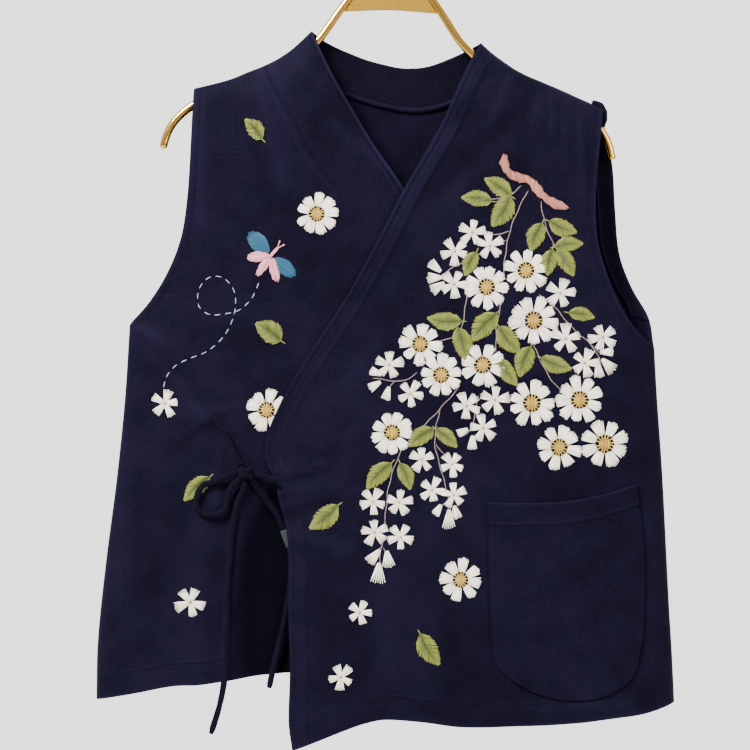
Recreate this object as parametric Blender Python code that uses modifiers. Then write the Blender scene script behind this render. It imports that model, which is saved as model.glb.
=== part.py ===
"""An embroidered waistcoat with crossed fronts, hanging on a metal hanger.

The frame: +Z is up, the fronts face -Y, and the origin is where a rail carries the hanger's hook.
+X is the wearer's left. Tables are in millimetres and are turned into metres where they are read.
"""

import math
from collections import namedtuple

import bpy
from mathutils import Matrix, Vector

MM = 0.001

# Cloth
CLOTH = 1.5  # thickness of a panel
FACING = 1.1  # thickness of a facing or the pocket's single layer
SEAM_HALF_GAP = 0.3  # half the space between two panels' outer edges at a seam
LAYER_GAP = 0.35  # space between a panel and what lies on it
POCKET_GAP = 0.6  # the same under the pocket, whose facets differ from the panel's

# The body's form, as a flattened tube
SIDE_ROUND = 60.0  # width over which a side rounds off
FRONT_TOP_ROUND = 60.0  # height over which the front rounds off over the shoulder
BACK_TOP_ROUND = 30.0
UNDER_STEP = 3.4  # how far the under front lies behind the outer front
SIDE_LINE_LEAN = 0.14  # lean of the side lines above the underarms, which keeps the armholes open

# Half depths of the body, from its middle plane: z, front, back
HALF_DEPTHS = (
    (-790, 30.0, 19.0),
    (-700, 28.0, 18.0),
    (-550, 25.0, 16.0),
    (-400, 22.0, 14.5),
    (-250, 20.5, 13.5),
    (-120, 20.0, 13.5),
)

# Side seams, from the hem up to the underarm: z, x
RIGHT_SIDE = (
    (-746, -259), (-693, -259), (-618, -253), (-543, -245), (-468, -239), (-398, -236),
)
LEFT_SIDE = (
    (-736, 278), (-693, 275), (-644, 271), (-522, 262), (-457, 256), (-407, 252),
)

# Armhole edges, from the underarm up to the shoulder: z, x
RIGHT_ARMHOLE = (
    (-398, -236), (-378, -218), (-350, -201), (-317, -189), (-279, -184), (-232, -182),
    (-177, -181),
)
RIGHT_ARMHOLE_BACK = (
    (-398, -236), (-378, -220), (-350, -202), (-317, -189), (-279, -183), (-232, -181),
    (-177, -181),
)
LEFT_ARMHOLE = (
    (-407, 252), (-389, 232), (-363, 215), (-332, 202), (-305, 195), (-260, 193), (-185, 199),
)
LEFT_ARMHOLE_BACK = (
    (-407, 252), (-379, 247), (-351, 231), (-320, 219), (-279, 214), (-235, 210), (-185, 199),
)

# The ridge of each shoulder, from its end to the neck's tip: x, z
RIGHT_SHOULDER = (
    (-181, -177), (-149, -168), (-129, -159.5), (-116, -154), (-103, -147), (-90, -137.5), (-73, -121),
)
LEFT_SHOULDER = (
    (84.5, -128.5), (95, -137.5), (107, -146), (118, -153), (129.5, -158.5), (141, -163), (163.5, -172),
    (175, -177), (199, -187),
)

# The back's neckline between the two tips: x, z
BACK_NECK = (
    (-73, -121), (-62, -128.5), (-51, -134), (-36, -140), (-21, -145.3), (-6, -149), (9, -151.8),
    (24, -152), (38.5, -149.3), (53.5, -143.5), (68, -137), (84.5, -128.5),
)
NECK_FACING_SHARE = 0.073  # height of the neck facing, as a share of the back's height

# The outer front's free edge, from its hem corner up to the neck: z, x
OUTER_EDGE = (
    (-786, -75), (-760, -79), (-714, -79), (-649, -82), (-612, -82), (-580, -86), (-552, -94),
    (-539, -96), (-520, -106), (-497, -105), (-464, -92), (-446, -83), (-414, -64), (-371, -37),
    (-310, -5), (-265, 17), (-210, 47), (-153, 71.5), (-128.5, 84.5),
)
# The under front's free edge. Below the crossing it runs beneath the outer front
UNDER_EDGE = (
    (-714, 110), (-620, 113), (-520, 115), (-440, 112), (-400, 98), (-332, 58), (-262, 13),
    (-226, -13), (-192, -34.5), (-160, -53.5), (-121, -73),
)

# Hems: x, z
OUTER_HEM = (
    (-75, -786), (-52, -777), (-30, -768), (-8, -760), (10, -756), (43, -757), (80, -761),
    (138, -759), (187, -755), (220, -750), (246, -746), (264, -741), (278, -736),
)
UNDER_HEM = (
    (-259, -746), (-224, -738), (-188, -730), (-160, -728), (-132, -723), (-78, -716), (0, -712),
    (110, -714),
)
BACK_HEM = (
    (-259, -746), (-224, -736), (-188, -727), (-130, -721), (0, -719), (131, -722), (232, -729),
    (278, -736),
)

# Folds as soft ridges, or troughs where the height is negative: from x, z to x, z, half width, height
UNDER_FOLDS = (
    (-122, -162, -96, -262, 9, 3.0),
    (-105, -172, -84, -258, 9, -2.6),
    (-228, -404, -192, -434, 6, 2.2),
    (-190, -480, -158, -482, 7, 1.6),
    (-150, -494, -146, -526, 9, -3.0),
    (-128, -556, -137, -720, 8, 4.0),
    (-190, -640, -196, -730, 26, 2.5),
)
OUTER_FOLDS = (
    (121, -198, 46, -272, 11, -3.0),
    (82, -160, 22, -268, 10, 1.6),
    (131, -170, 129, -252, 9, -2.4),
    (163, -194, 166, -240, 7, 1.6),
    (-92, -531, -48, -500, 7, 2.4),
    (-88, -548, -36, -541, 7, 2.8),
    (-84, -574, -34, -552, 8, -2.4),
    (-70, -640, -70, -786, 15, 3.0),
    (-18, -690, -8, -768, 22, -3.6),
    (48, -680, 44, -760, 26, 3.0),
    (128, -735, 130, -760, 24, -2.0),
)
BACK_FOLDS = (
    (-90, -230, -104, -420, 15, 2.2),
    (96, -240, 118, -430, 15, 2.2),
    (10, -430, 4, -719, 30, -3.0),
    (-128, -560, -136, -722, 24, 2.6),
    (140, -560, 150, -722, 24, 2.6),
)

# The hollow in the under front below the knot: z, its ridge's x, depth behind the ridge
HOLLOW = (
    (-746, -132, 12.5), (-700, -135, 13.0), (-641, -136, 13.0), (-584, -129, 11.5), (-556, -118, 9.0),
    (-530, -108, 5.0), (-500, -104, 0.0),
)
HOLLOW_SLOPE = 26.0  # width over which the cloth falls from the ridge
HOLLOW_END = (40.0, 92.0)  # x from which it comes forward again, and where it is level

# Patch pocket: left edge and right edge as z, x, top edge and bottom edge as x, z
POCKET_LEFT = ((-692, 106), (-622, 101), (-554, 98))
POCKET_RIGHT = ((-700, 241), (-665, 246), (-596, 245), (-534, 237))
POCKET_TOP = ((98, -554), (125, -554), (167, -552), (199, -546), (237, -534))
POCKET_BOTTOM = (
    (106, -692), (111, -704), (121, -714), (143, -727), (171, -734), (199, -733), (222, -724), (235, -713),
    (241, -700),
)
POCKET_COLUMNS = 12
POCKET_ROWS = (0.0, 0.04, 0.11, 0.22, 0.37, 0.52, 0.67, 0.83, 0.93, 1.0)  # shares of its height

# Ties, as soft round tubes of folded cloth
TIE_RADIUS = 2.9
KNOT_CENTRE = (-123.0, -29.0, -532.0)
KNOT_HALF_SIZES = (7.4, 6.0, 7.4)
KNOT_PORT = 8.4  # how far from the knot's centre a tie's end lies
TIE_STEP = 7.0  # distance between a tube's points
KNOT_FACETS = (16, 10)  # segments round it and rings

# Where each tie meets the knot, in degrees from +X towards +Z
TIE_A_PORT = 125
TIE_B_PORT = 352
LOOP_PORTS = (186, 222)
LOOP_FORWARD = 1.0  # the loop's second end lies so far in front of the knot's centre
TAIL_1_PORT = 264
TAIL_2_PORT = 312

# Routes of the ties, as x, y, z between their ports on the knot
TIE_A = (
    (-155.0, -24.6, -482.0), (-151.0, -24.8, -486.5), (-144.0, -25.4, -495.5), (-138.5, -26.6, -507.0),
    (-133.0, -28.2, -517.5),
)
TIE_B = ((-108.0, -29.8, -534.2), (-101.0, -31.0, -536.6), (-94.5, -32.0, -539.0))
LOOP = (
    (-138.0, -28.2, -533.5), (-150.0, -26.2, -540.0), (-162.0, -25.6, -544.0), (-167.5, -25.7, -553.0),
    (-168.5, -25.9, -563.5), (-161.5, -26.2, -570.0), (-150.0, -26.8, -571.0), (-142.0, -27.6, -566.0),
    (-139.8, -28.6, -556.0), (-136.8, -29.6, -546.0),
)
TAIL_1 = (
    (-125.6, -29.4, -547.0), (-130.4, -29.4, -560.0), (-134.0, -29.3, -580.0), (-136.0, -29.6, -605.0),
    (-138.0, -30.2, -635.0), (-138.0, -31.2, -665.0), (-137.5, -32.4, -695.0), (-138.5, -33.0, -720.0),
    (-142.5, -31.8, -745.0), (-150.0, -30.0, -772.0),
)
TAIL_2 = (
    (-113.0, -26.2, -545.0), (-104.0, -21.6, -557.0), (-92.0, -17.8, -574.0), (-83.0, -17.2, -596.0),
    (-80.0, -17.6, -620.0), (-82.0, -18.2, -645.0), (-86.5, -19.0, -675.0), (-93.0, -19.6, -703.0),
    (-98.0, -20.0, -730.0),
)

# Hanger
ROD_RADIUS = 3.9
HOOK_RADIUS = 2.25
HOOK_BEND = 18.25  # radius of the hook's middle line
HOOK_TOP = HOOK_RADIUS  # height of the hook's middle line above the origin, where it rests on a rail
# The rod's right half, from the middle to its end: x, z
ROD_HALF = (
    (0, -51.2), (9, -53.7), (18.2, -61.3), (30.4, -78), (40.5, -92.2), (49.6, -105), (65, -127.5),
    (81, -143), (100, -156.5), (119.5, -165), (149, -176.5), (167, -184), (184.5, -194.5),
    (197.5, -206.5), (205, -219.5), (209, -234),
)
ROD_STEP = 11.0  # distance between the rod's points
HOOK_ANGLES = range(205, -26, -15)  # where the bend's points lie, in degrees from +X towards +Z
HOOK_STEM = ((15.0, -29.5), (5.8, -36.0), (0.6, -41.2), (0.0, -46.9))  # x, z, from the bend down to the rod
STEM_STEP = 4.0
PLATE_THICKNESS = 2.4
PLATE_OUTLINE = ((-42.4, -102.4), (0.0, -100.2), (42.4, -102.4), (17.4, -67.4), (-17.4, -67.4))  # x, z

# Blank folded tape behind the outer edge
TAPE_SIZE = (13.0, 1.0, 17.0)
TAPE_CENTRE = (-84.5, -23.7, -592.0)
TAPE_TILT = math.radians(-22)

# Grids
TUBE_RESOLUTION = 2  # steps in a quarter of a tube's section, besides its ends
SIDE_ANGLES = (0, 4, 17, 30, 43, 60, 75, 90)  # where columns cut the rounding of a side, in degrees
TOP_ANGLES = (0, 5, 20, 40, 62, 90)  # where rows cut the rounding of the shoulder
ARMHOLE_FACING_COLUMNS = 5
NECK_SHARES = (0, 0.03, 0.09, 0.2, 0.35, 0.5, 0.65, 0.8, 0.91, 0.97, 1)  # columns across the back's neckline
BACK_LOW_ROWS = 9  # rows of the back below the underarm
BACK_HIGH_ROWS = 8
BACK_SHOULDER_COLUMNS = 3  # columns of the back between a side's rounding and the neck
# Each front's plain columns, and its rows below and above the underarm
UNDER_COUNTS = (13, 10, 8)
OUTER_COUNTS = (15, 12, 9)

# Colours, roughness and metallic value
FINISHES = {
    "navy_cloth": ((0.018, 0.014, 0.055), 0.92, 0.0),
    "navy_facing": ((0.014, 0.011, 0.042), 0.92, 0.0),
    "navy_tie": ((0.016, 0.013, 0.05), 0.9, 0.0),
    "white_tape": ((0.72, 0.72, 0.7), 0.8, 0.0),
    "gold_metal": ((0.83, 0.62, 0.30), 0.28, 1.0),
}


def clear_scene():
    """Removes what the file opened with."""
    for item in list(bpy.data.objects):
        bpy.data.objects.remove(item, do_unlink=True)


def lerp(low, high, share):
    """The value a share of the way from low to high."""
    return low + (high - low) * share


def value_at(rows, key, column=1):
    """The value in a column at key, on a smooth line through rows whose first column rises."""
    last = len(rows) - 1
    index = 0
    while index < last - 1 and key > rows[index + 1][0]:
        index += 1
    low, high = rows[index], rows[index + 1]
    span = high[0] - low[0]
    share = min(max((key - low[0]) / span, 0.0), 1.0)
    before = rows[max(index - 1, 0)]
    after = rows[min(index + 2, last)]
    start = (high[column] - before[column]) / (high[0] - before[0]) * span
    end = (after[column] - low[column]) / (after[0] - low[0]) * span
    square, cube = share ** 2, share ** 3
    return (
        (2 * cube - 3 * square + 1) * low[column]
        + (cube - 2 * square + share) * start
        + (3 * square - 2 * cube) * high[column]
        + (cube - square) * end
    )


def rounding(share):
    """A quarter ellipse: 0 at the edge and 1 from a share of 1 on."""
    share = min(max(share, 0.0), 1.0)
    return math.sqrt(1.0 - (1.0 - share) ** 2)


def soft_step(share):
    """A rise from 0 to 1 with level ends."""
    share = min(max(share, 0.0), 1.0)
    return share * share * (3.0 - 2.0 * share)


def ridge_height(x):
    """The height of the shoulders' ridge at x, level with the neck's tips between them."""
    if x <= RIGHT_SHOULDER[-1][0]:
        return value_at(RIGHT_SHOULDER, x)
    if x >= LEFT_SHOULDER[0][0]:
        return value_at(LEFT_SHOULDER, x)
    share = (x - RIGHT_SHOULDER[-1][0]) / (LEFT_SHOULDER[0][0] - RIGHT_SHOULDER[-1][0])
    return lerp(RIGHT_SHOULDER[-1][1], LEFT_SHOULDER[0][1], share)


def side_distance(x, z):
    """How far x lies inside the nearer side line at height z."""
    left = value_at(LEFT_SIDE, z) + SIDE_LINE_LEAN * max(z - LEFT_SIDE[-1][0], 0.0)
    right = value_at(RIGHT_SIDE, z) - SIDE_LINE_LEAN * max(z - RIGHT_SIDE[-1][0], 0.0)
    return min(left - x, x - right)


def body_share(x, z, top_round):
    """The share of the body's half depth that it has at x, z."""
    return rounding(side_distance(x, z) / SIDE_ROUND) * rounding((ridge_height(x) - z) / top_round)


def fold_height(folds, x, z):
    """How far the folds stand out at x, z."""
    total = 0.0
    for x0, z0, x1, z1, half_width, height in folds:
        length = math.hypot(x1 - x0, z1 - z0)
        along = ((x - x0) * (x1 - x0) + (z - z0) * (z1 - z0)) / length
        across = ((x - x0) * (z1 - z0) - (z - z0) * (x1 - x0)) / length
        past = max(-along, along - length, 0.0)
        total += height * math.exp(-((across / half_width) ** 2) - (past / (1.5 * half_width)) ** 2)
    return total


def hollow_depth(x, z):
    """How far the under front falls back beside the ridge below the knot."""
    if z >= HOLLOW[-1][0]:
        return 0.0
    ridge = value_at(HOLLOW, z, 1)
    depth = max(value_at(HOLLOW, z, 2), 0.0)
    fall = soft_step((x - ridge) / HOLLOW_SLOPE)
    back_up = 1.0 - soft_step((x - HOLLOW_END[0]) / (HOLLOW_END[1] - HOLLOW_END[0]))
    return depth * fall * back_up


def outer_front_y(x, z):
    """The outer front's outer face."""
    share = body_share(x, z, FRONT_TOP_ROUND)
    return -(SEAM_HALF_GAP + share * (value_at(HALF_DEPTHS, z, 1) + fold_height(OUTER_FOLDS, x, z)))


def under_front_y(x, z):
    """The under front's outer face."""
    share = body_share(x, z, FRONT_TOP_ROUND)
    depth = value_at(HALF_DEPTHS, z, 1) - UNDER_STEP + fold_height(UNDER_FOLDS, x, z) - hollow_depth(x, z)
    return -(SEAM_HALF_GAP + share * depth)


def back_y(x, z):
    """The back's outer face."""
    share = body_share(x, z, BACK_TOP_ROUND)
    return SEAM_HALF_GAP + share * (value_at(HALF_DEPTHS, z, 2) + fold_height(BACK_FOLDS, x, z))


def spaced(low, high, steps):
    """Even shares from low up to but without high."""
    return [lerp(low, high, step / steps) for step in range(steps)]


def rounding_shares(width):
    """Shares from a side seam to where its rounding ends."""
    return [SIDE_ROUND * (1.0 - math.cos(math.radians(angle))) / width for angle in SIDE_ANGLES]


def column_shares(width, plain, left_seam, right_seam):
    """Shares across a panel, closer together where a side seam rounds off."""
    rounded = rounding_shares(width)
    start = rounded if left_seam else [0.0]
    end = [1.0 - share for share in reversed(rounded)] if right_seam else [1.0]
    return start[:-1] + spaced(start[-1], end[0], plain) + end


def row_shares(height, bottom_rows, top_rows, break_share):
    """Shares up a panel: even rows to the underarm, even rows above it, and close rows at the ridge."""
    angles = [math.radians(angle) for angle in reversed(TOP_ANGLES)]
    close = [1.0 - FRONT_TOP_ROUND * (1.0 - math.cos(angle)) / height for angle in angles]
    return spaced(0.0, break_share, bottom_rows) + spaced(break_share, close[0], top_rows) + close


Edge = namedtuple("Edge", "x_at low high")  # x as a function of z, from the low z to the high z


def plain_edge(rows):
    """An edge through rows of z, x."""
    return Edge(lambda z: value_at(rows, z), rows[0][0], rows[-1][0])


def seam_edge(side, armhole):
    """An edge with a corner at the underarm, between its side seam and its armhole."""
    corner = side[-1][0]

    def x_at(z):
        return value_at(side, z) if z <= corner else value_at(armhole, z)

    return Edge(x_at, side[0][0], armhole[-1][0])


def panel_grid(left, right, hem, top, surface, columns, rows):
    """Rows of points on a surface, between two edges and two lines that give z as a function of x."""
    low = (left.x_at(left.low), right.x_at(right.low))
    high = (left.x_at(left.high), right.x_at(right.high))
    grid = []
    for v in rows:
        ends = (left.x_at(lerp(left.low, left.high, v)), right.x_at(lerp(right.low, right.high, v)))
        line = []
        for u in columns:
            x = lerp(*ends, u)
            z = lerp(hem(lerp(*low, u)), top(lerp(*high, u)), v)
            line.append(Vector((x, surface(x, z), z)))
        grid.append(line)
    return grid


def grid_normal(grid, row, column):
    """The direction at right angles to the grid at one of its points."""
    rows, columns = len(grid), len(grid[0])
    across = grid[row][min(column + 1, columns - 1)] - grid[row][max(column - 1, 0)]
    up = grid[min(row + 1, rows - 1)][column] - grid[max(row - 1, 0)][column]
    return across.cross(up).normalized()


def moved(grid, distance):
    """The grid moved along its own normals."""
    return [
        [point + grid_normal(grid, row, column) * distance for column, point in enumerate(line)]
        for row, line in enumerate(grid)
    ]


def material(name):
    """The named finish as a Principled material."""
    if name in bpy.data.materials:
        return bpy.data.materials[name]
    colour, roughness, metallic = FINISHES[name]
    made = bpy.data.materials.new(name)
    made.use_nodes = True
    shader = made.node_tree.nodes["Principled BSDF"]
    shader.inputs["Base Color"].default_value = (*colour, 1.0)
    shader.inputs["Roughness"].default_value = roughness
    shader.inputs["Metallic"].default_value = metallic
    return made


def add_object(name, data, finish, collection):
    """An object with its finish, in the collection."""
    made = bpy.data.objects.new(name, data)
    own = material(finish).copy()
    own.name = name + "_finish"
    data.materials.append(own)
    collection.objects.link(made)
    return made


def add_wall(name, grid, thickness, finish, collection, faces_front=True):
    """A cloth wall: the grid is its outer face, and Solidify gives it its thickness inwards."""
    width = len(grid[0])
    points = [tuple(point * MM) for line in grid for point in line]
    faces = []
    for row in range(len(grid) - 1):
        for column in range(width - 1):
            first = row * width + column
            quad = (first, first + 1, first + width + 1, first + width)
            faces.append(quad if faces_front else quad[::-1])
    mesh = bpy.data.meshes.new(name)
    mesh.from_pydata(points, [], faces)
    mesh.update()
    mesh.shade_smooth()
    wall = add_object(name, mesh, finish, collection)
    solidify = wall.modifiers.new("cloth thickness", "SOLIDIFY")
    solidify.thickness = thickness * MM
    solidify.offset = -1.0
    solidify.use_even_offset = False
    return wall


def smooth_route(points, step):
    """Points about a step apart on a smooth curve through the route's own points."""
    ends = [points[0] * 2 - points[1], *points, points[-1] * 2 - points[-2]]
    route = [points[0]]
    for index in range(1, len(ends) - 2):
        before, low, high, after = ends[index - 1 : index + 3]
        pieces = max(1, round((high - low).length / step))
        for piece in range(1, pieces + 1):
            t = piece / pieces
            route.append(
                0.5
                * (
                    2 * low
                    + (high - before) * t
                    + (2 * before - 5 * low + 4 * high - after) * t ** 2
                    + (3 * low - before - 3 * high + after) * t ** 3
                )
            )
    return route


def add_tube(name, route, radius, finish, collection):
    """A round tube with closed ends along a route in millimetres."""
    curve = bpy.data.curves.new(name, "CURVE")
    curve.dimensions = "3D"
    curve.bevel_depth = radius * MM
    curve.bevel_resolution = TUBE_RESOLUTION
    curve.use_fill_caps = True
    spline = curve.splines.new("POLY")
    spline.points.add(len(route) - 1)
    for point, place in zip(spline.points, route):
        point.co = (*(place * MM), 1.0)
    spline.use_smooth = True
    return add_object(name, curve, finish, collection)


def knot_port(angle, forward=0.0):
    """A place just off the knot, at an angle counted from +X towards +Z, and so far forward of its centre."""
    turn = math.radians(angle)
    x, y, z = KNOT_CENTRE
    return Vector((x + KNOT_PORT * math.cos(turn), y - forward, z + KNOT_PORT * math.sin(turn)))


def finish_primitive(made, centre, finish, collection):
    """Gives a primitive its place, its finish and its collection."""
    made.location = Vector(centre) * MM
    for holder in list(made.users_collection):
        holder.objects.unlink(made)
    collection.objects.link(made)
    own = material(finish).copy()
    own.name = made.name + "_finish"
    made.data.materials.append(own)


def vectors(rows):
    """The rows as vectors."""
    return [Vector(row) for row in rows]


def build_panels(collection):
    """Back, two fronts, facings and pocket."""
    seam, free = seam_edge(RIGHT_SIDE, RIGHT_ARMHOLE), plain_edge(UNDER_EDGE)
    under = front_grid(seam, RIGHT_SIDE, free, True, UNDER_HEM, under_front_y, UNDER_COUNTS)
    add_wall("front_right", under, CLOTH, "navy_cloth", collection)
    seam, free = seam_edge(LEFT_SIDE, LEFT_ARMHOLE), plain_edge(OUTER_EDGE)
    outer = front_grid(seam, LEFT_SIDE, free, False, OUTER_HEM, outer_front_y, OUTER_COUNTS)
    add_wall("front_left", outer, CLOTH, "navy_cloth", collection)
    build_back(collection)
    add_wall("pocket", pocket_grid(), FACING, "navy_cloth", collection)


def front_grid(seam, side, free, seam_is_left, hem, surface, counts):
    """A front's grid between its seam edge, whose lower part is the side, and its free edge."""
    plain_columns, low_rows, high_rows = counts
    left, right = (seam, free) if seam_is_left else (free, seam)
    width = right.x_at(right.low) - left.x_at(left.low)
    columns = column_shares(width, plain_columns, seam_is_left, not seam_is_left)
    height = seam.high - seam.low
    rows = row_shares(height, low_rows, high_rows, (side[-1][0] - seam.low) / height)
    return panel_grid(left, right, lambda x: value_at(hem, x), ridge_height, surface, columns, rows)


def back_top(x):
    """The back's top edge: shoulders, and the neckline between the tips."""
    if BACK_NECK[0][0] < x < BACK_NECK[-1][0]:
        return value_at(BACK_NECK, x)
    return ridge_height(x)


def build_back(collection):
    """The back with its neck facing and the facing of one armhole."""
    right = seam_edge(RIGHT_SIDE, RIGHT_ARMHOLE_BACK)
    left = seam_edge(LEFT_SIDE, LEFT_ARMHOLE_BACK)
    start, end = right.x_at(right.high), left.x_at(left.high)
    tips = [(neck[0] - start) / (end - start) for neck in (BACK_NECK[0], BACK_NECK[-1])]
    rounded = rounding_shares(left.x_at(left.low) - right.x_at(right.low))
    columns = (
        rounded[:-1]
        + spaced(rounded[-1], tips[0], BACK_SHOULDER_COLUMNS)
        + [lerp(tips[0], tips[1], share) for share in NECK_SHARES[:-1]]
        + spaced(tips[1], 1.0 - rounded[-1], BACK_SHOULDER_COLUMNS)
        + [1.0 - share for share in reversed(rounded)]
    )
    height = right.high - right.low
    rows = row_shares(height, BACK_LOW_ROWS, BACK_HIGH_ROWS, (RIGHT_SIDE[-1][0] - right.low) / height)
    neck_row = min(range(len(rows)), key=lambda index: abs(rows[index] - 1.0 + NECK_FACING_SHARE))
    rows[neck_row] = 1.0 - NECK_FACING_SHARE
    grid = panel_grid(right, left, lambda x: value_at(BACK_HEM, x), back_top, back_y, columns, rows)
    add_wall("back", grid, CLOTH, "navy_cloth", collection, faces_front=False)
    inner = moved(grid, CLOTH + LAYER_GAP)
    tip = len(rounded) - 1 + BACK_SHOULDER_COLUMNS
    neck = [line[tip + 1 : tip + len(NECK_SHARES) - 1] for line in inner[neck_row:]]
    add_wall("neck_facing", neck, FACING, "navy_facing", collection, faces_front=False)
    edge = [line[-ARMHOLE_FACING_COLUMNS:] for line in inner[BACK_LOW_ROWS + 1 : -2]]
    add_wall("armhole_facing", edge, FACING, "navy_facing", collection, faces_front=False)


def pocket_grid():
    """The pocket's outer face, on the outer front's face."""
    columns = [0.5 - 0.5 * math.cos(math.pi * share) for share in spaced(0.0, 1.0, POCKET_COLUMNS) + [1.0]]
    lift = FACING + POCKET_GAP
    return panel_grid(
        plain_edge(POCKET_LEFT),
        plain_edge(POCKET_RIGHT),
        lambda x: value_at(POCKET_BOTTOM, x),
        lambda x: value_at(POCKET_TOP, x),
        lambda x, z: outer_front_y(x, z) - lift,
        columns,
        POCKET_ROWS,
    )


def build_ties(collection):
    """The knot and the five lengths of tie that meet it."""
    segments, rings = KNOT_FACETS
    bpy.ops.mesh.primitive_uv_sphere_add(segments=segments, ring_count=rings, radius=MM)
    knot = bpy.context.object
    knot.name = "knot"
    knot.data.name = "knot"
    knot.data.transform(Matrix.Diagonal((*KNOT_HALF_SIZES, 1.0)))
    knot.data.shade_smooth()
    finish_primitive(knot, KNOT_CENTRE, "navy_tie", collection)
    routes = {
        "tie_a": vectors(TIE_A) + [knot_port(TIE_A_PORT)],
        "tie_b": [knot_port(TIE_B_PORT)] + vectors(TIE_B),
        "bow_loop": [knot_port(LOOP_PORTS[0])] + vectors(LOOP) + [knot_port(LOOP_PORTS[1], LOOP_FORWARD)],
        "tail_1": [knot_port(TAIL_1_PORT)] + vectors(TAIL_1),
        "tail_2": [knot_port(TAIL_2_PORT)] + vectors(TAIL_2),
    }
    for name, route in routes.items():
        add_tube(name, smooth_route(route, TIE_STEP), TIE_RADIUS, "navy_tie", collection)


def build_hanger(collection):
    """Rod, plate and hook."""
    right = [Vector((x, 0.0, z)) for x, z in ROD_HALF]
    left = [Vector((-point.x, 0.0, point.z)) for point in reversed(right[1:])]
    add_tube("hanger_rod", smooth_route(left + right, ROD_STEP), ROD_RADIUS, "gold_metal", collection)
    centre = Vector((0.0, 0.0, HOOK_TOP - HOOK_BEND))
    bend = []
    for angle in HOOK_ANGLES:
        turn = math.radians(angle)
        bend.append(centre + Vector((math.cos(turn), 0.0, math.sin(turn))) * HOOK_BEND)
    stem = [Vector((x, 0.0, z)) for x, z in HOOK_STEM]
    add_tube("hanger_hook", bend + smooth_route(stem, STEM_STEP), HOOK_RADIUS, "gold_metal", collection)
    outline = bpy.data.curves.new("hanger_plate", "CURVE")
    outline.dimensions = "2D"
    outline.fill_mode = "BOTH"
    outline.extrude = PLATE_THICKNESS * MM / 2
    spline = outline.splines.new("POLY")
    spline.points.add(len(PLATE_OUTLINE) - 1)
    for point, (x, z) in zip(spline.points, PLATE_OUTLINE):
        point.co = (x * MM, z * MM, 0.0, 1.0)
    spline.use_cyclic_u = True
    plate = add_object("hanger_plate", outline, "gold_metal", collection)
    plate.rotation_euler = (math.radians(90), 0.0, 0.0)


def build_tape(collection):
    """The blank folded tape."""
    bpy.ops.mesh.primitive_cube_add(size=1.0)
    tape = bpy.context.object
    tape.name = "edge_tape"
    tape.data.name = "edge_tape"
    tape.data.transform(Matrix.Diagonal((*(Vector(TAPE_SIZE) * MM), 1.0)))
    tape.rotation_euler = (0.0, TAPE_TILT, 0.0)
    finish_primitive(tape, TAPE_CENTRE, "white_tape", collection)


def main():
    """Builds every piece."""
    clear_scene()
    collection = bpy.data.collections.new("embroidered_waistcoat")
    bpy.context.scene.collection.children.link(collection)
    build_panels(collection)
    build_ties(collection)
    build_hanger(collection)
    build_tape(collection)


main()
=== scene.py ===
"""An embroidered waistcoat with crossed fronts on a metal hanger: its looks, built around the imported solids.

Lengths in the tables are millimetres, and places are x, z in the garment's own plane, unless a table
says otherwise.
"""

import logging
import math
from dataclasses import dataclass, field
from enum import Enum
from typing import Callable, Iterable, Sequence

import bpy
import numpy as np
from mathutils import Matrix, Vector


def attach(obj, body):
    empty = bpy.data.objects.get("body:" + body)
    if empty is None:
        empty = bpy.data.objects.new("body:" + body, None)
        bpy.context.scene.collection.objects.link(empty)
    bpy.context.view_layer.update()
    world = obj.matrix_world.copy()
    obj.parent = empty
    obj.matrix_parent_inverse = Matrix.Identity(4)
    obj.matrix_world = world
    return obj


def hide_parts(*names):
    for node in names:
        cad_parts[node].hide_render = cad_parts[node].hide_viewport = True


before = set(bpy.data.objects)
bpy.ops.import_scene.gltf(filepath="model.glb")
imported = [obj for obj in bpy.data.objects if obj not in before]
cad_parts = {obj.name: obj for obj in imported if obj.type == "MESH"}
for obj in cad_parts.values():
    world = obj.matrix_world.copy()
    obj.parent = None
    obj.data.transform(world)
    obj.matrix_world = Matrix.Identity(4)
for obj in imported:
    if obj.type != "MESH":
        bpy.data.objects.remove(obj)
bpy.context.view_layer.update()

MM = 0.001
BODY = "root"
log = logging.getLogger("waistcoat")

Rows = Sequence[Sequence[float]]
Point2 = tuple[float, float]
Array = np.ndarray
Object = bpy.types.Object
Socket = bpy.types.NodeSocket
Line = Callable[[Array], Array]
Surface = Callable[[Array, Array], Array]

# ---- The form, in the same tables as the solids

CLOTH = 1.5  # thickness of the main panels
FACING = 1.1  # thickness of facings and pocket
SEAM_HALF_GAP = 0.02
SEAM_EASE = 25.0  # height above the underarm over which a closed side seam opens
CLOTH_RIM = 0.42  # width of the rounding of its cut edges
LAYER_GAP = 0.35
POCKET_GAP = 0.6
SIDE_ROUND = 60.0
FRONT_TOP_ROUND = 60.0
BACK_TOP_ROUND = 30.0
UNDER_STEP = 3.4  # how far the under front lies behind the outer one
SIDE_LINE_LEAN = 0.14  # how fast the side lines run outwards above the underarms

# z, front half depth, back half depth
HALF_DEPTHS = (
    (-790, 30, 19), (-700, 28, 18), (-550, 25, 16), (-400, 22, 14.5), (-250, 20.5, 13.5),
    (-120, 20, 13.5),
)
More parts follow.
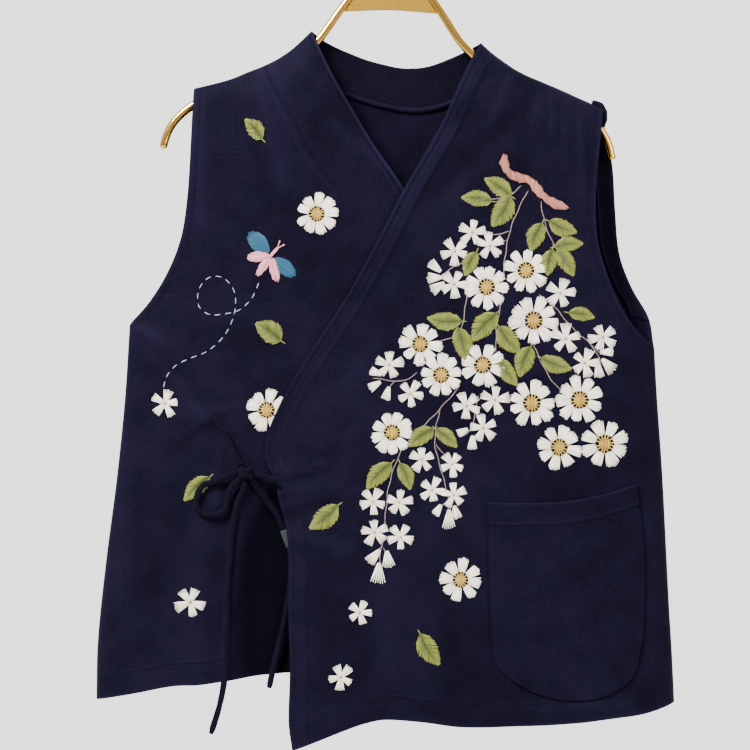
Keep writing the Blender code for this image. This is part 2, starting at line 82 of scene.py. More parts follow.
# Edges: z, x
RIGHT_SIDE = ((-746, -259), (-693, -259), (-618, -253), (-543, -245), (-468, -239), (-398, -236))
LEFT_SIDE = ((-736, 278), (-693, 275), (-644, 271), (-522, 262), (-457, 256), (-407, 252))
RIGHT_ARMHOLE = (
    (-398, -236), (-378, -218), (-350, -201), (-317, -189), (-279, -184), (-232, -182), (-177, -181),
)
RIGHT_ARMHOLE_BACK = (
    (-398, -236), (-378, -220), (-350, -202), (-317, -189), (-279, -183), (-232, -181), (-177, -181),
)
LEFT_ARMHOLE = ((-407, 252), (-389, 232), (-363, 215), (-332, 202), (-305, 195), (-260, 193), (-185, 199))
LEFT_ARMHOLE_BACK = (
    (-407, 252), (-379, 247), (-351, 231), (-320, 219), (-279, 214), (-235, 210), (-185, 199),
)
OUTER_EDGE = (
    (-786, -75), (-760, -79), (-714, -79), (-649, -82), (-612, -82), (-580, -86), (-552, -94),
    (-539, -96), (-520, -106), (-497, -105), (-464, -92), (-446, -83), (-414, -64), (-371, -37),
    (-310, -5), (-265, 17), (-210, 47), (-153, 71.5), (-128.5, 84.5),
)
UNDER_EDGE = (
    (-714, 110), (-620, 113), (-520, 115), (-440, 112), (-400, 98), (-332, 58), (-262, 13), (-226, -13),
    (-192, -34.5), (-160, -53.5), (-121, -73),
)
# Lines across: x, z
RIGHT_SHOULDER = (
    (-181, -177), (-149, -168), (-129, -159.5), (-116, -154), (-103, -147), (-90, -137.5), (-73, -121),
)
LEFT_SHOULDER = (
    (84.5, -128.5), (95, -137.5), (107, -146), (118, -153), (129.5, -158.5), (141, -163), (163.5, -172),
    (175, -177), (199, -187),
)
BACK_NECK = (
    (-73, -121), (-62, -128.5), (-51, -134), (-36, -140), (-21, -145.3), (-6, -149), (9, -151.8),
    (24, -152), (38.5, -149.3), (53.5, -143.5), (68, -137), (84.5, -128.5),
)
OUTER_HEM = (
    (-75, -786), (-52, -777), (-30, -768), (-8, -760), (10, -756), (43, -757), (80, -761), (138, -759),
    (187, -755), (220, -750), (246, -746), (264, -741), (278, -736),
)
UNDER_HEM = (
    (-259, -746), (-224, -738), (-188, -730), (-160, -728), (-132, -723), (-78, -716), (0, -712),
    (110, -714),
)
BACK_HEM = (
    (-259, -746), (-224, -736), (-188, -727), (-130, -721), (0, -719), (131, -722), (232, -729),
    (278, -736),
)
# Folds: from x, z to x, z, half width, height
UNDER_FOLDS = (
    (-122, -162, -96, -262, 9, 3), (-105, -172, -84, -258, 9, -2.6), (-228, -404, -192, -434, 6, 2.2),
    (-190, -480, -158, -482, 7, 1.6), (-150, -494, -146, -526, 9, -3), (-128, -556, -137, -720, 8, 4),
    (-190, -640, -196, -730, 26, 2.5),
)
OUTER_FOLDS = (
    (121, -198, 46, -272, 11, -3), (82, -160, 22, -268, 10, 1.6), (131, -170, 129, -252, 9, -2.4),
    (163, -194, 166, -240, 7, 1.6), (-92, -531, -48, -500, 7, 2.4), (-88, -548, -36, -541, 7, 2.8),
    (-84, -574, -34, -552, 8, -2.4), (-70, -640, -70, -786, 15, 3), (-18, -690, -8, -768, 22, -3.6),
    (48, -680, 44, -760, 26, 3), (128, -735, 130, -760, 24, -2),
)
BACK_FOLDS = (
    (-90, -230, -104, -420, 15, 2.2), (96, -240, 118, -430, 15, 2.2), (10, -430, 4, -719, 30, -3),
    (-128, -560, -136, -722, 24, 2.6), (140, -560, 150, -722, 24, 2.6),
)
# z, the ridge's x, depth behind the ridge
HOLLOW = (
    (-746, -132, 12.5), (-700, -135, 13), (-641, -136, 13), (-584, -129, 11.5), (-556, -118, 9),
    (-530, -108, 5), (-500, -104, 0),
)
HOLLOW_SLOPE = 26.0
HOLLOW_END = (40, 92)
POCKET_LEFT = ((-692, 106), (-622, 101), (-554, 98))
POCKET_RIGHT = ((-700, 241), (-665, 246), (-596, 245), (-534, 237))
POCKET_TOP = ((98, -554), (125, -554), (167, -552), (199, -546), (237, -534))
POCKET_BOTTOM = (
    (106, -692), (111, -704), (121, -714), (143, -727), (171, -734), (199, -733), (222, -724), (235, -713),
    (241, -700),
)

# Creases finer than the solids' folds, in the same columns
UNDER_CREASES = (
    (-228, -398, -196, -416, 3.2, 1.1), (-226, -408, -190, -440, 3.4, -1),
    (-218, -420, -178, -462, 4, 0.7), (-176, -190, -168, -300, 7, 0.8), (-158, -186, -150, -330, 9, -0.7),
    (-112, -146, -88, -262, 8, 1.5), (-130, -160, -106, -290, 6, -0.9), (-62, -150, -30, -216, 8, -1),
    (-46, -210, 4, -252, 6, 0.9), (-160, -484, -176, -470, 3.6, 1.3), (-154, -476, -132, -470, 3.2, 0.9),
    (-160, -492, -186, -510, 4.5, -0.9), (-148, -500, -150, -560, 5, 1.1),
    (-136, -500, -128, -520, 3.4, -0.8), (-214, -560, -210, -690, 13, -0.9),
    (-170, -560, -164, -720, 12, 0.9), (-236, -500, -240, -640, 10, 0.6),
    (-120, -380, -70, -420, 11, 0.7), (-110, -300, -150, -350, 12, -0.6),
)
OUTER_CREASES = (
    (150, -178, 152, -214, 3, 0.8), (157, -180, 160, -222, 3, -0.8), (176, -190, 180, -262, 5.5, 0.8),
    (186, -202, 188, -290, 4.5, -0.6), (112, -160, 96, -206, 5, 0.9), (96, -150, 66, -196, 4, -0.8),
    (60, -214, 8, -300, 6, 0.8), (212, -392, 176, -404, 5, 0.8), (232, -420, 190, -452, 6.5, -0.8),
    (-84, -520, -30, -486, 3.6, -1.2), (-88, -534, -52, -520, 3, 1.2), (-90, -541, -40, -536, 3.4, -1),
    (-84, -560, -20, -546, 4.6, 1.1), (-76, -590, -30, -600, 9, 0.9), (-60, -470, -20, -440, 10, 0.8),
    (-44, -610, -38, -720, 9, -0.9), (10, -600, 6, -700, 14, 0.9), (74, -600, 78, -720, 13, -0.8),
    (252, -560, 258, -700, 8, 0.8), (120, -742, 230, -738, 5, 0.7), (20, -742, 70, -748, 6, -0.6),
)
BACK_CREASES = (
    (-150, -190, -140, -300, 9, 0.9), (140, -196, 150, -310, 9, 0.8), (-210, -410, -160, -450, 7, 1),
    (222, -420, 170, -462, 7, 1), (-60, -200, -40, -330, 12, -0.9), (60, -210, 44, -340, 12, -0.8),
    (-200, -520, -210, -700, 14, 0.9), (210, -530, 222, -700, 14, 0.9), (-60, -560, -66, -710, 13, -0.8),
    (72, -560, 80, -712, 13, 0.8), (-40, -160, 60, -162, 5, 0.6),
)

# ---- Embroidery, set out to the nearest few millimetres

# Outer front, then under front: x, z, radius, petals, turn in degrees
DAISIES = ((
    (94, -356, 20, 9, 12), (130, -340, 20, 9, 2), (138, -386, 22, 9, 20), (34, -410, 19.5, 8, 5),
    (54, -438, 19.5, 9, 0), (92, -428, 20.5, 8, 18), (138, -462, 21.5, 9, 8), (182, -458, 21.5, 9, 28),
    (164, -502, 20.5, 8, 10), (206, -498, 22, 8, 24), (10, -492, 19.5, 9, 15), (76, -626, 19, 8, 9),
), ((-64, -292, 19, 9, 6), (-106, -474, 19.5, 8, 14)))
# x, z, radius, turn in degrees
BLOSSOMS = ((
    (80, -306, 12.5, 10), (64, -324, 12.5, 40), (96, -318, 13, -5), (64, -354, 13, 25),
    (162, -360, 13.5, 15), (168, -402, 14, 0), (202, -400, 13, 50), (186, -424, 13, 20),
    (6, -430, 12.5, 5), (26, -456, 12.5, 30), (78, -466, 12.5, 45), (104, -460, 13.5, 10),
    (94, -486, 12.5, 60), (38, -516, 11.5, 0), (66, -520, 11.5, 35), (48, -544, 11.5, 20),
    (68, -548, 11.5, -10), (-6, -556, 12, 30), (18, -556, 12, 5), (-4, -584, 12, -8),
    (20, -588, 12, 33), (-16, -658, 11, 18), (-32, -718, 11.5, 44),
), ((-200, -470, 12.5, 10), (-172, -652, 14, 28)))
# Foot's x, z, then the tip's
BUDS = (
    (54, -345, 41, -334), (56, -348, 39, -349), (58, -351, 43, -361), (197, -414, 212, -413),
    (199, -417, 213, -431), (197, -419, 200, -437), (2, -440, -12, -435), (1, -444, -12, -452),
    (7, -447, 3, -462), (82, -486, 70, -492), (84, -490, 84, -506), (58, -555, 51, -567),
    (64, -557, 64, -579), (68, -555, 72, -570), (4, -597, -9, -612), (7, -597, 10, -616),
    (1, -607, 0, -631),
)
LEAVES = ((
    (115, -272, 90, -256), (97, -277, 69, -274), (114, -272, 98, -300), (150, -294, 176, -304),
    (144, -296, 134, -322), (156, -318, 182, -314), (158, -320, 174, -344), (154, -320, 150, -344),
    (84, -324, 74, -346), (72, -388, 40, -386), (68, -394, 76, -424), (104, -380, 82, -406),
    (106, -392, 126, -416), (136, -410, 126, -438), (108, -422, 124, -446), (146, -420, 174, -430),
    (170, -378, 194, -382), (48, -488, 26, -504), (50, -488, 70, -504), (10, -520, -12, -544),
    (18, -520, 28, -544), (-38, -560, -64, -582), (40, -676, 58, -704),
), ((-116, -224, -132, -206, 1.1), (-94, -410, -118, -394, 1.2), (-157, -537, -180, -559, 0.85)))
STEMS = (
    ((130, -266), (120, -288), (114, -306), (110, -332), (108, -368), (104, -392), (104, -416)),
    ((124, -262), (112, -272), (102, -274), (84, -276)),
    ((114, -272), (106, -286)),
    ((114, -304), (98, -308), (82, -306)),
    ((112, -312), (100, -318), (82, -328), (64, -338), (52, -346)),
    ((142, -276), (146, -294), (152, -310), (160, -322), (170, -334)),
    ((154, -316), (166, -316)),
    ((142, -362), (156, -372), (174, -392), (192, -408), (200, -422), (202, -434)),
    ((192, -408), (200, -414), (212, -416)),
    ((76, -362), (74, -382), (70, -398), (56, -406), (38, -410)),
    ((32, -436), (20, -444), (6, -444), (-10, -442)),
    ((12, -444), (6, -452), (2, -460)),
    ((138, -408), (146, -424), (154, -438), (166, -452)),
    (
        (70, -450), (58, -464), (44, -480), (32, -492), (22, -504), (14, -520), (8, -542), (6, -564),
        (4, -582), (2, -602), (0, -628),
    ),
    ((54, -468), (50, -488), (50, -504), (56, -526), (62, -546), (64, -564)),
    ((50, -502), (58, -510)),
    ((88, -456), (86, -472), (82, -488), (74, -494)),
    ((4, -596), (-6, -608)),
    ((4, -598), (10, -610)),
    ((62, -554), (52, -564)),
)
TWIG = (
    (106, -236), (112, -250), (120, -254), (130, -256), (138, -264), (148, -274), (156, -278), (166, -280),
)
TRAIL = (
    (-116, -357), (-122, -371), (-133, -382), (-146, -386), (-161, -387), (-171, -379), (-171, -364),
    (-162, -353), (-149, -353), (-139, -364), (-137, -378), (-140, -393), (-148, -408), (-162, -421),
    (-178, -428), (-191, -435), (-199, -445), (-202, -457),
)
INSECT_PLACE = (-105, -331)
SHOULDER_ROLL = (
    (189, -1, -181), (196, -1.5, -184), (199.5, -2, -189.5), (200.5, -2, -197), (199.5, -1.5, -204),
)
SHOULDER_ROLL_RADIUS = 3.3

# ---- Ties: x, y, z of each route

KNOT_CENTRE = (-123, -29, -532)
KNOT_PORT = 8.4
# The knot's wraps: shift in z, tilt in degrees, half size in x and in y; and the strand across them
KNOT_WRAPS = ((2.3, 14, 4.4, 3.3), (-2.4, -16, 4.6, 3.4))
KNOT_STRAND = ((-4.6, -1.2, 4.4), (-2.6, -3.2, 2.4), (0.2, -3.7, 0), (3, -3, -2.6), (5, -1, -4.4))
KNOT_RADIUS = 2.35
KNOT_SIDES = 12
KNOT_STEP = 0.8
TIE_A_PORT = 125
TIE_B_PORT = 352
LOOP_PORTS = (186, 222)
LOOP_FORWARD = 1.0
TAIL_1_PORT = 264
TAIL_2_PORT = 312
TIE_A = (
    (-155, -24.6, -482), (-151, -24.8, -486.5), (-144, -25.4, -495.5), (-138.5, -26.6, -507),
    (-133, -28.2, -517.5),
)
TIE_B = ((-108, -29.8, -534.2), (-101, -31, -536.6), (-94.5, -32, -539))
LOOP = (
    (-138, -28.2, -533.5), (-150, -26.2, -540), (-162, -25.6, -544), (-167.5, -25.7, -553),
    (-168.5, -25.9, -563.5), (-161.5, -26.2, -570), (-150, -26.8, -571), (-142, -27.6, -566),
    (-139.8, -28.6, -556), (-136.8, -29.6, -546),
)
TAIL_1 = (
    (-125.6, -29.4, -547), (-130.4, -29.4, -560), (-134, -29.3, -580), (-136, -29.6, -605),
    (-138, -30.2, -635), (-138, -31.2, -665), (-137.5, -32.4, -695), (-138.5, -33, -720),
    (-142.5, -31.8, -745), (-150, -30, -772),
)
TAIL_2 = (
    (-113, -26.2, -545), (-104, -21.6, -557), (-92, -17.8, -574), (-83, -17.2, -596),
    (-80, -17.6, -620), (-82, -18.2, -645), (-86.5, -19, -675), (-93, -19.6, -703),
    (-98, -20, -730),
)

# ---- Hanger

HOOK_RADIUS = 2.25
HOOK_BEND = 18.25
ROD_RADIUS = 3.9
ROD_HALF = (
    (0, -51.2), (9, -53.7), (18.2, -61.3), (30.4, -78), (40.5, -92.2), (49.6, -105), (65, -127.5),
    (81, -143), (100, -156.5), (119.5, -165), (149, -176.5), (167, -184), (184.5, -194.5),
    (197.5, -206.5), (205, -219.5), (209, -234),
)
HOOK_STEM = ((15, -29.5), (5.8, -36), (0.6, -41.5), (0, -47.5))
PLATE_THICKNESS = 2.4
PLATE_OUTLINE = ((-43.4, -102.4), (0, -100.2), (43.4, -102.4), (18.4, -67.4), (-18.4, -67.4))

TAPE_SIZE = (13, 1, 17)
TAPE_CENTRE = (-84.5, -23.7, -592)
TAPE_TILT = math.radians(-22)


# ---- Lines and forms


def along(rows: Rows, key: Array | float, column: int = 1) -> Array:
    """Reads a column on a smooth line through rows whose first column rises.

    Args:
        rows: the table.
        key: where to read it, in the first column's terms.
        column: the column to read.

    Returns:
        The values, in the shape of key.
    """
    table = np.asarray(rows, float)
    place, value = table[:, 0], table[:, column]
    key = np.asarray(key, float)
    last = len(place) - 1
    low = np.clip(np.searchsorted(place, key, side="left") - 1, 0, last - 1)
    high = low + 1
    before, after = np.maximum(low - 1, 0), np.minimum(low + 2, last)
    span = place[high] - place[low]
    share = np.clip((key - place[low]) / span, 0.0, 1.0)
    start = (value[high] - value[before]) / (place[high] - place[before]) * span
    end = (value[after] - value[low]) / (place[after] - place[low]) * span
    square, cube = share**2, share**3
    return (
        (2 * cube - 3 * square + 1) * value[low]
        + (cube - 2 * square + share) * start
        + (3 * square - 2 * cube) * value[high]
        + (cube - square) * end
    )


def rounding(share: Array) -> Array:
    """A quarter ellipse: 0 at the edge and 1 from a share of 1 on."""
    return np.sqrt(1.0 - (1.0 - np.clip(share, 0.0, 1.0)) ** 2)


def soft_step(share: Array) -> Array:
    """A rise from 0 to 1 with level ends."""
    share = np.clip(share, 0.0, 1.0)
    return share * share * (3.0 - 2.0 * share)


def ridge_height(x: Array) -> Array:
    """The height of the shoulders' ridge at x, straight between the neck's tips.

    Args:
        x: places across.

    Returns:
        The ridge's heights.
    """
    x = np.asarray(x, float)
    start, end = RIGHT_SHOULDER[-1], LEFT_SHOULDER[0]
    middle = start[1] + (end[1] - start[1]) * (x - start[0]) / (end[0] - start[0])
    outside = np.where(x <= start[0], along(RIGHT_SHOULDER, x), along(LEFT_SHOULDER, x))
    return np.where((x > start[0]) & (x < end[0]), middle, outside)


def body_share(x: Array, z: Array, top_round: float) -> Array:
    """The share of the body's half depth that it has at x, z.

    Args:
        x: places across.
        z: heights.
        top_round: how far below the ridge the form rounds off.

    Returns:
        Shares from 0 at the outline to 1.
    """
    left = along(LEFT_SIDE, z) + SIDE_LINE_LEAN * np.maximum(z - LEFT_SIDE[-1][0], 0.0)
    right = along(RIGHT_SIDE, z) - SIDE_LINE_LEAN * np.maximum(z - RIGHT_SIDE[-1][0], 0.0)
    inside = np.minimum(left - x, x - right)
    return rounding(inside / SIDE_ROUND) * rounding((ridge_height(x) - z) / top_round)


def fold_height(folds: Rows, x: Array, z: Array) -> Array:
    """How far the folds stand out at x, z.

    Args:
        folds: the table of folds.
        x: places across.
        z: heights.

    Returns:
        Heights outwards from the plain form.
    """
    total = np.zeros(np.broadcast(x, z).shape)
    for x0, z0, x1, z1, half_width, height in folds:
        length = math.hypot(x1 - x0, z1 - z0)
        run = ((x - x0) * (x1 - x0) + (z - z0) * (z1 - z0)) / length
        across = ((x - x0) * (z1 - z0) - (z - z0) * (x1 - x0)) / length
        past = np.maximum(np.maximum(-run, run - length), 0.0)
        total += height * np.exp(-((across / half_width) ** 2) - (past / (1.5 * half_width)) ** 2)
    return total


def hollow_depth(x: Array, z: Array) -> Array:
    """How far the under front falls back beside the ridge below the knot.

    Args:
        x: places across.
        z: heights.

    Returns:
        Depths behind the plain form.
    """
    depth = np.where(z >= HOLLOW[-1][0], 0.0, np.maximum(along(HOLLOW, z, 2), 0.0))
    fall = soft_step((x - along(HOLLOW, z, 1)) / HOLLOW_SLOPE)
    return depth * fall * (1.0 - soft_step((x - HOLLOW_END[0]) / (HOLLOW_END[1] - HOLLOW_END[0])))


def edge_slope(edge: Rows, z: Array) -> Array:
    """How much longer a slanting edge is than its rise, at z.

    Args:
        edge: the table of the edge.
        z: heights.

    Returns:
        Its length for each millimetre of rise.
    """
    step = 2.0
    slope = (along(edge, z + step) - along(edge, z - step)) / (2 * step)
    return np.sqrt(1.0 + slope**2)


def edge_distance(edge: Rows, x: Array, z: Array) -> Array:
    """The distance of x, z from a slanting edge, as a positive length to its right."""
    return (x - along(edge, z)) / edge_slope(edge, z)


def groove(distance: Array, width: float) -> Array:
    """The round profile of a narrow dip or ridge, 1 at a distance of 0."""
    return np.exp(-((distance / width) ** 2))


def unevenness(x: Array, z: Array) -> Array:
    """The slow waves of hanging cloth.

    Args:
        x: places across.
        z: heights.

    Returns:
        Heights outwards.
    """
    return (
        0.34 * np.sin(x / 23.0 + 1.3 * np.sin(z / 71.0)) * np.sin(z / 57.0 + 0.8)
        + 0.22 * np.sin(x / 11.0 + z / 37.0 + 2.0)
        + 0.12 * np.sin(x / 6.3 - z / 19.0)
    )


# Distances from an edge: of the outer front's folded band and of each line of stitching
EDGE_BAND = 15.5
EDGE_STITCH = 4.6
UNDER_STITCH = 4.4
FACING_STITCH = 53.0
ARMHOLE_STITCH = 6.5
NECK_STITCH = 5.0
HEM_DEPTH = 20.0
POCKET_HEM = 21.0
POCKET_STITCH = 2.4
FAR = 99.0
SEWN_DOWN = 0.4  # how far inside its outline the pocket's rim starts
# The ridge's close cloth ends so far below it, and its folds reach full height so much further down
RIDGE_REST = 6.0
RIDGE_EASE = 39.0
# Heights, and the rise, over which the edges' bands grow out of the plain cloth
OUTER_BAND_FOOT, OUTER_BAND_RISE = -520.0, 120.0
UNDER_BAND_FOOT, UNDER_BAND_RISE = -300.0, 60.0
# How much of a crease's and of a fold's height shows in the colour: ridges lighter as chafing and painted
# highlight, hollows darker as painted shade
FRONT_FOLD_PAINTED_LIGHT = (0.2, 0.045)
BACK_FOLD_PAINTED_LIGHT = (0.22, 0.05)


def near_ridge(x: Array, z: Array) -> Array:
    """0 on the shoulders' ridge, where the cloth lies close to the rod, and 1 from 45 mm below it."""
    return soft_step((ridge_height(x) - z - RIDGE_REST) / RIDGE_EASE)


def band_step(distance: Array, width: float, height: float, ease: float) -> Array:
    """A band's height: full within its width, and gone by ease beyond it."""
    return height * (1.0 - soft_step((distance - width) / ease))


def turned_hem(up: Array, height: float, dip: float) -> Array:
    """A turned hem's height, up from its fold, with the dip at its stitching."""
    return band_step(up, HEM_DEPTH, height, 2.0) - dip * groove(up - HEM_DEPTH, 1.1)


def rolled_edge(inside: Array, stitch: float, height: float) -> Array:
    """The height of a folded edge: a soft roll, the dip at its stitching and a lower rim."""
    return height * groove(inside - stitch * 0.45, stitch * 0.42) - 0.36 * groove(inside - stitch, 0.9)


def edge_wear_and_painted_light(inside: Array, stitch: float) -> Array:
    """Where a folded edge is painted lighter, as chafing and painted highlight, and where its stitching is
    painted darker as painted shade.
    """
    light = 0.7 * groove(inside - 1.4, 1.3) + 0.15 * groove(inside - stitch - 2.2, 1.1)
    return light - 0.6 * groove(inside - stitch, 0.95)


def hem_wear_and_painted_light(up: Array) -> Array:
    """The same for a hem, up from its fold: lighter at the fold as chafing and painted highlight, darker at
    the stitching as painted shade.
    """
    stitching = 0.1 * groove(up - HEM_DEPTH - 2.4, 1.2) - 0.25 * groove(up - HEM_DEPTH, 1.2)
    return 0.4 * groove(up, 1.6) + stitching


def fold_wear_and_painted_light(creases: Rows, folds: Rows, rub: Point2, x: Array, z: Array) -> Array:
    """How light or dark the creases and folds are painted, by the shares in rub: ridges lighter as chafing and
    painted highlight, hollows darker as painted shade.
    """
    return rub[0] * fold_height(creases, x, z) + rub[1] * fold_height(folds, x, z)


def armhole_inset(side: Rows, armhole: Rows, x: Array, z: Array, hand: float) -> Array:
    """How far x, z lies in from an armhole; large below the underarm."""
    return np.where(z > side[-1][0], hand * edge_distance(armhole, x, z), FAR)


def outer_y(x: Array, z: Array) -> Array:
    """The outer front's outer face, with its band, its hem and its finer creases.

    Args:
        x: places across.
        z: heights.

    Returns:
        The face's y.
    """
    x, z = np.asarray(x, float), np.asarray(z, float)
    inside = edge_distance(OUTER_EDGE, x, z)
    high = 0.35 + 0.65 * soft_step((z - OUTER_BAND_FOOT) / OUTER_BAND_RISE)
    band = band_step(inside, EDGE_BAND, 0.55, 2.6) + rolled_edge(inside, EDGE_STITCH, 0.22)
    fine = fold_height(OUTER_CREASES, x, z) + unevenness(x, z)
    fine = fine + band * high + turned_hem(z - along(OUTER_HEM, x), 0.3, 0.3)
    depth = along(HALF_DEPTHS, z) + fold_height(OUTER_FOLDS, x, z) + fine * near_ridge(x, z)
    return -(SEAM_HALF_GAP + body_share(x, z, FRONT_TOP_ROUND) * depth)


def outer_wear_and_painted_light(x: Array, z: Array) -> Array:
    """How light, above 0, as chafing and painted highlight, or dark, below 0, as painted shade, the outer
    front's colour is.

    Args:
        x: places across.
        z: heights.

    Returns:
        Values from about -1 to 1.
    """
    inside = edge_distance(OUTER_EDGE, x, z)
    arm = armhole_inset(LEFT_SIDE, LEFT_ARMHOLE, x, z, -1.0)
    high = 0.3 + 0.7 * soft_step((z - OUTER_BAND_FOOT) / OUTER_BAND_RISE)
    # Painted shade along the step at the band's inner edge, and a painted highlight on the band's rim just
    # inside it.
    edge = 0.35 * edge_wear_and_painted_light(inside, EDGE_STITCH) - 0.28 * groove(inside - EDGE_BAND - 1.2, 1.6)
    edge = edge + 0.18 * groove(inside - EDGE_BAND + 1.8, 1.6)
    folds = fold_wear_and_painted_light(OUTER_CREASES, OUTER_FOLDS, FRONT_FOLD_PAINTED_LIGHT, x, z)
    return edge * high + folds + hem_wear_and_painted_light(z - along(OUTER_HEM, x)) + 0.4 * edge_wear_and_painted_light(arm, ARMHOLE_STITCH)


def under_y(x: Array, z: Array) -> Array:
    """The under front's outer face, with its facing's stitching, its hem and its finer creases.

    Args:
        x: places across.
        z: heights.

    Returns:
        The face's y.
    """
    x, z = np.asarray(x, float), np.asarray(z, float)
    inside = -edge_distance(UNDER_EDGE, x, z)
    high = soft_step((z - UNDER_BAND_FOOT) / UNDER_BAND_RISE)
    facing = band_step(inside, FACING_STITCH, 0.5, 2.4) - 0.55 * groove(inside - FACING_STITCH, 1.1)
    edges = rolled_edge(inside, UNDER_STITCH, 1.0) + turned_hem(z - along(UNDER_HEM, x), 0.4, 0.35)
    fine = fold_height(UNDER_CREASES, x, z) + unevenness(x + 90.0, z) + facing * high + edges
    depth = along(HALF_DEPTHS, z) - UNDER_STEP + fold_height(UNDER_FOLDS, x, z) - hollow_depth(x, z)
    return -(SEAM_HALF_GAP + body_share(x, z, FRONT_TOP_ROUND) * (depth + fine * near_ridge(x, z)))


def under_wear_and_painted_light(x: Array, z: Array) -> Array:
    """How light, as chafing and painted highlight, or dark, as painted shade, the under front's colour is,
    with painted shade in the hollow below the knot.

    Args:
        x: places across.
        z: heights.

    Returns:
        Values from about -1 to 1.
    """
    inside = -edge_distance(UNDER_EDGE, x, z)
    arm = armhole_inset(RIGHT_SIDE, RIGHT_ARMHOLE, x, z, 1.0)
    high = soft_step((z - UNDER_BAND_FOOT) / UNDER_BAND_RISE)
    line = 0.15 * groove(inside - FACING_STITCH - 4.0, 2.5) - 0.25 * groove(inside - FACING_STITCH, 2.0)
    # The hollow below the knot is darkened by its depth as painted shade.
    folds = fold_wear_and_painted_light(UNDER_CREASES, UNDER_FOLDS, FRONT_FOLD_PAINTED_LIGHT, x, z) - 0.085 * hollow_depth(x, z)
    hem = hem_wear_and_painted_light(z - along(UNDER_HEM, x))
    edges = edge_wear_and_painted_light(inside, UNDER_STITCH) + 0.4 * edge_wear_and_painted_light(arm, ARMHOLE_STITCH)
    return edges + line * high + folds + hem


def back_y(x: Array, z: Array) -> Array:
    """The back's outer face, with its hem and its finer creases.

    Args:
        x: places across.
        z: heights.

    Returns:
        The face's y.
    """
    x, z = np.asarray(x, float), np.asarray(z, float)
    hem = turned_hem(z - along(BACK_HEM, x), 0.4, 0.35)
    fine = fold_height(BACK_CREASES, x, z) + unevenness(x - 40.0, z + 30.0) + hem
    depth = along(HALF_DEPTHS, z, 2) + fold_height(BACK_FOLDS, x, z) + fine * near_ridge(x, z)
    return SEAM_HALF_GAP + body_share(x, z, BACK_TOP_ROUND) * depth


def back_wear_and_painted_light(x: Array, z: Array) -> Array:
    """How light, as chafing and painted highlight, or dark, as painted shade, the back's colour is.

    Args:
        x: places across.
        z: heights.

    Returns:
        Values from about -1 to 1.
    """
    right = armhole_inset(RIGHT_SIDE, RIGHT_ARMHOLE_BACK, x, z, 1.0)
    left = armhole_inset(LEFT_SIDE, LEFT_ARMHOLE_BACK, x, z, -1.0)
    edges = 0.6 * edge_wear_and_painted_light(np.minimum(right, left), ARMHOLE_STITCH)
    edges = edges + 0.5 * edge_wear_and_painted_light(along(BACK_NECK, x) - z, NECK_STITCH)
    return fold_wear_and_painted_light(BACK_CREASES, BACK_FOLDS, BACK_FOLD_PAINTED_LIGHT, x, z) + hem_wear_and_painted_light(z - along(BACK_HEM, x)) + edges


def edge_inset(x: Array, z: Array) -> Array:
    """How far x, z lies inside the pocket's sides and bottom."""
    sides = np.minimum(x - along(POCKET_LEFT, z), along(POCKET_RIGHT, z) - x)
    return np.minimum(np.maximum(sides, 0.0), np.maximum(z - along(POCKET_BOTTOM, x), 0.0)) + SEWN_DOWN


def pocket_y(x: Array, z: Array) -> Array:
    """The pocket's outer face, on the outer front, with its top hem and its slightly open mouth.

    Args:
        x: places across.
        z: heights.

    Returns:
        The face's y.
    """
    x, z = np.asarray(x, float), np.asarray(z, float)
    down = along(POCKET_TOP, x) - z
    hem = band_step(down, POCKET_HEM, 0.6, 1.6) - 0.55 * groove(down - POCKET_HEM, 1.0)
    wide = POCKET_TOP[-1][0] - POCKET_TOP[0][0]
    middle = np.sin(np.pi * np.clip((x - POCKET_TOP[0][0]) / wide, 0.0, 1.0))
    mouth = 1.1 * middle * np.exp(-np.maximum(down, 0.0) / 26.0)
    slack = 0.45 * np.sin(x / 17.0) * np.sin(z / 29.0 + 1.0) * middle
    inset = edge_inset(x, z)
    rim = rounding(np.minimum(down + SEWN_DOWN, inset) / 2.2) - 1.0
    sewn = 0.35 * groove(inset - POCKET_STITCH - SEWN_DOWN, 0.9) * soft_step((down - 2.0) / 3.0)
    lift = FACING + POCKET_GAP + hem + mouth + slack + 0.45 * rim - sewn
    plain = along(HALF_DEPTHS, z) + fold_height(OUTER_FOLDS, x, z)
    plain_y = -(SEAM_HALF_GAP + body_share(x, z, FRONT_TOP_ROUND) * plain)
    return np.minimum(plain_y, outer_y(x, z) - 0.1) - lift


def pocket_wear_and_painted_light(x: Array, z: Array) -> Array:
    """How light, as chafing and painted highlight, or dark, as painted shade and painted shadow at its rim,
    the pocket's colour is.

    Args:
        x: places across.
        z: heights.

    Returns:
        Values from about -1 to 1.
    """
    down = along(POCKET_TOP, x) - z
    inset = edge_inset(x, z) - SEWN_DOWN
    # Painted shadow along the pocket's rim with a painted highlight just inside it; painted highlights at the
    # top fold and under the hem, painted shade at the stitching.
    sides = (0.2 * groove(inset - 2.2, 1.6) - 0.7 * groove(inset, 0.9)) * soft_step((down - 1.0) / 3.0)
    top = 0.55 * groove(down, 1.4) + 0.3 * groove(down - POCKET_HEM + 1.9, 1.1)
    return sides + top - 0.15 * groove(inset - POCKET_STITCH, 0.9) - 0.5 * groove(down - POCKET_HEM, 1.0)


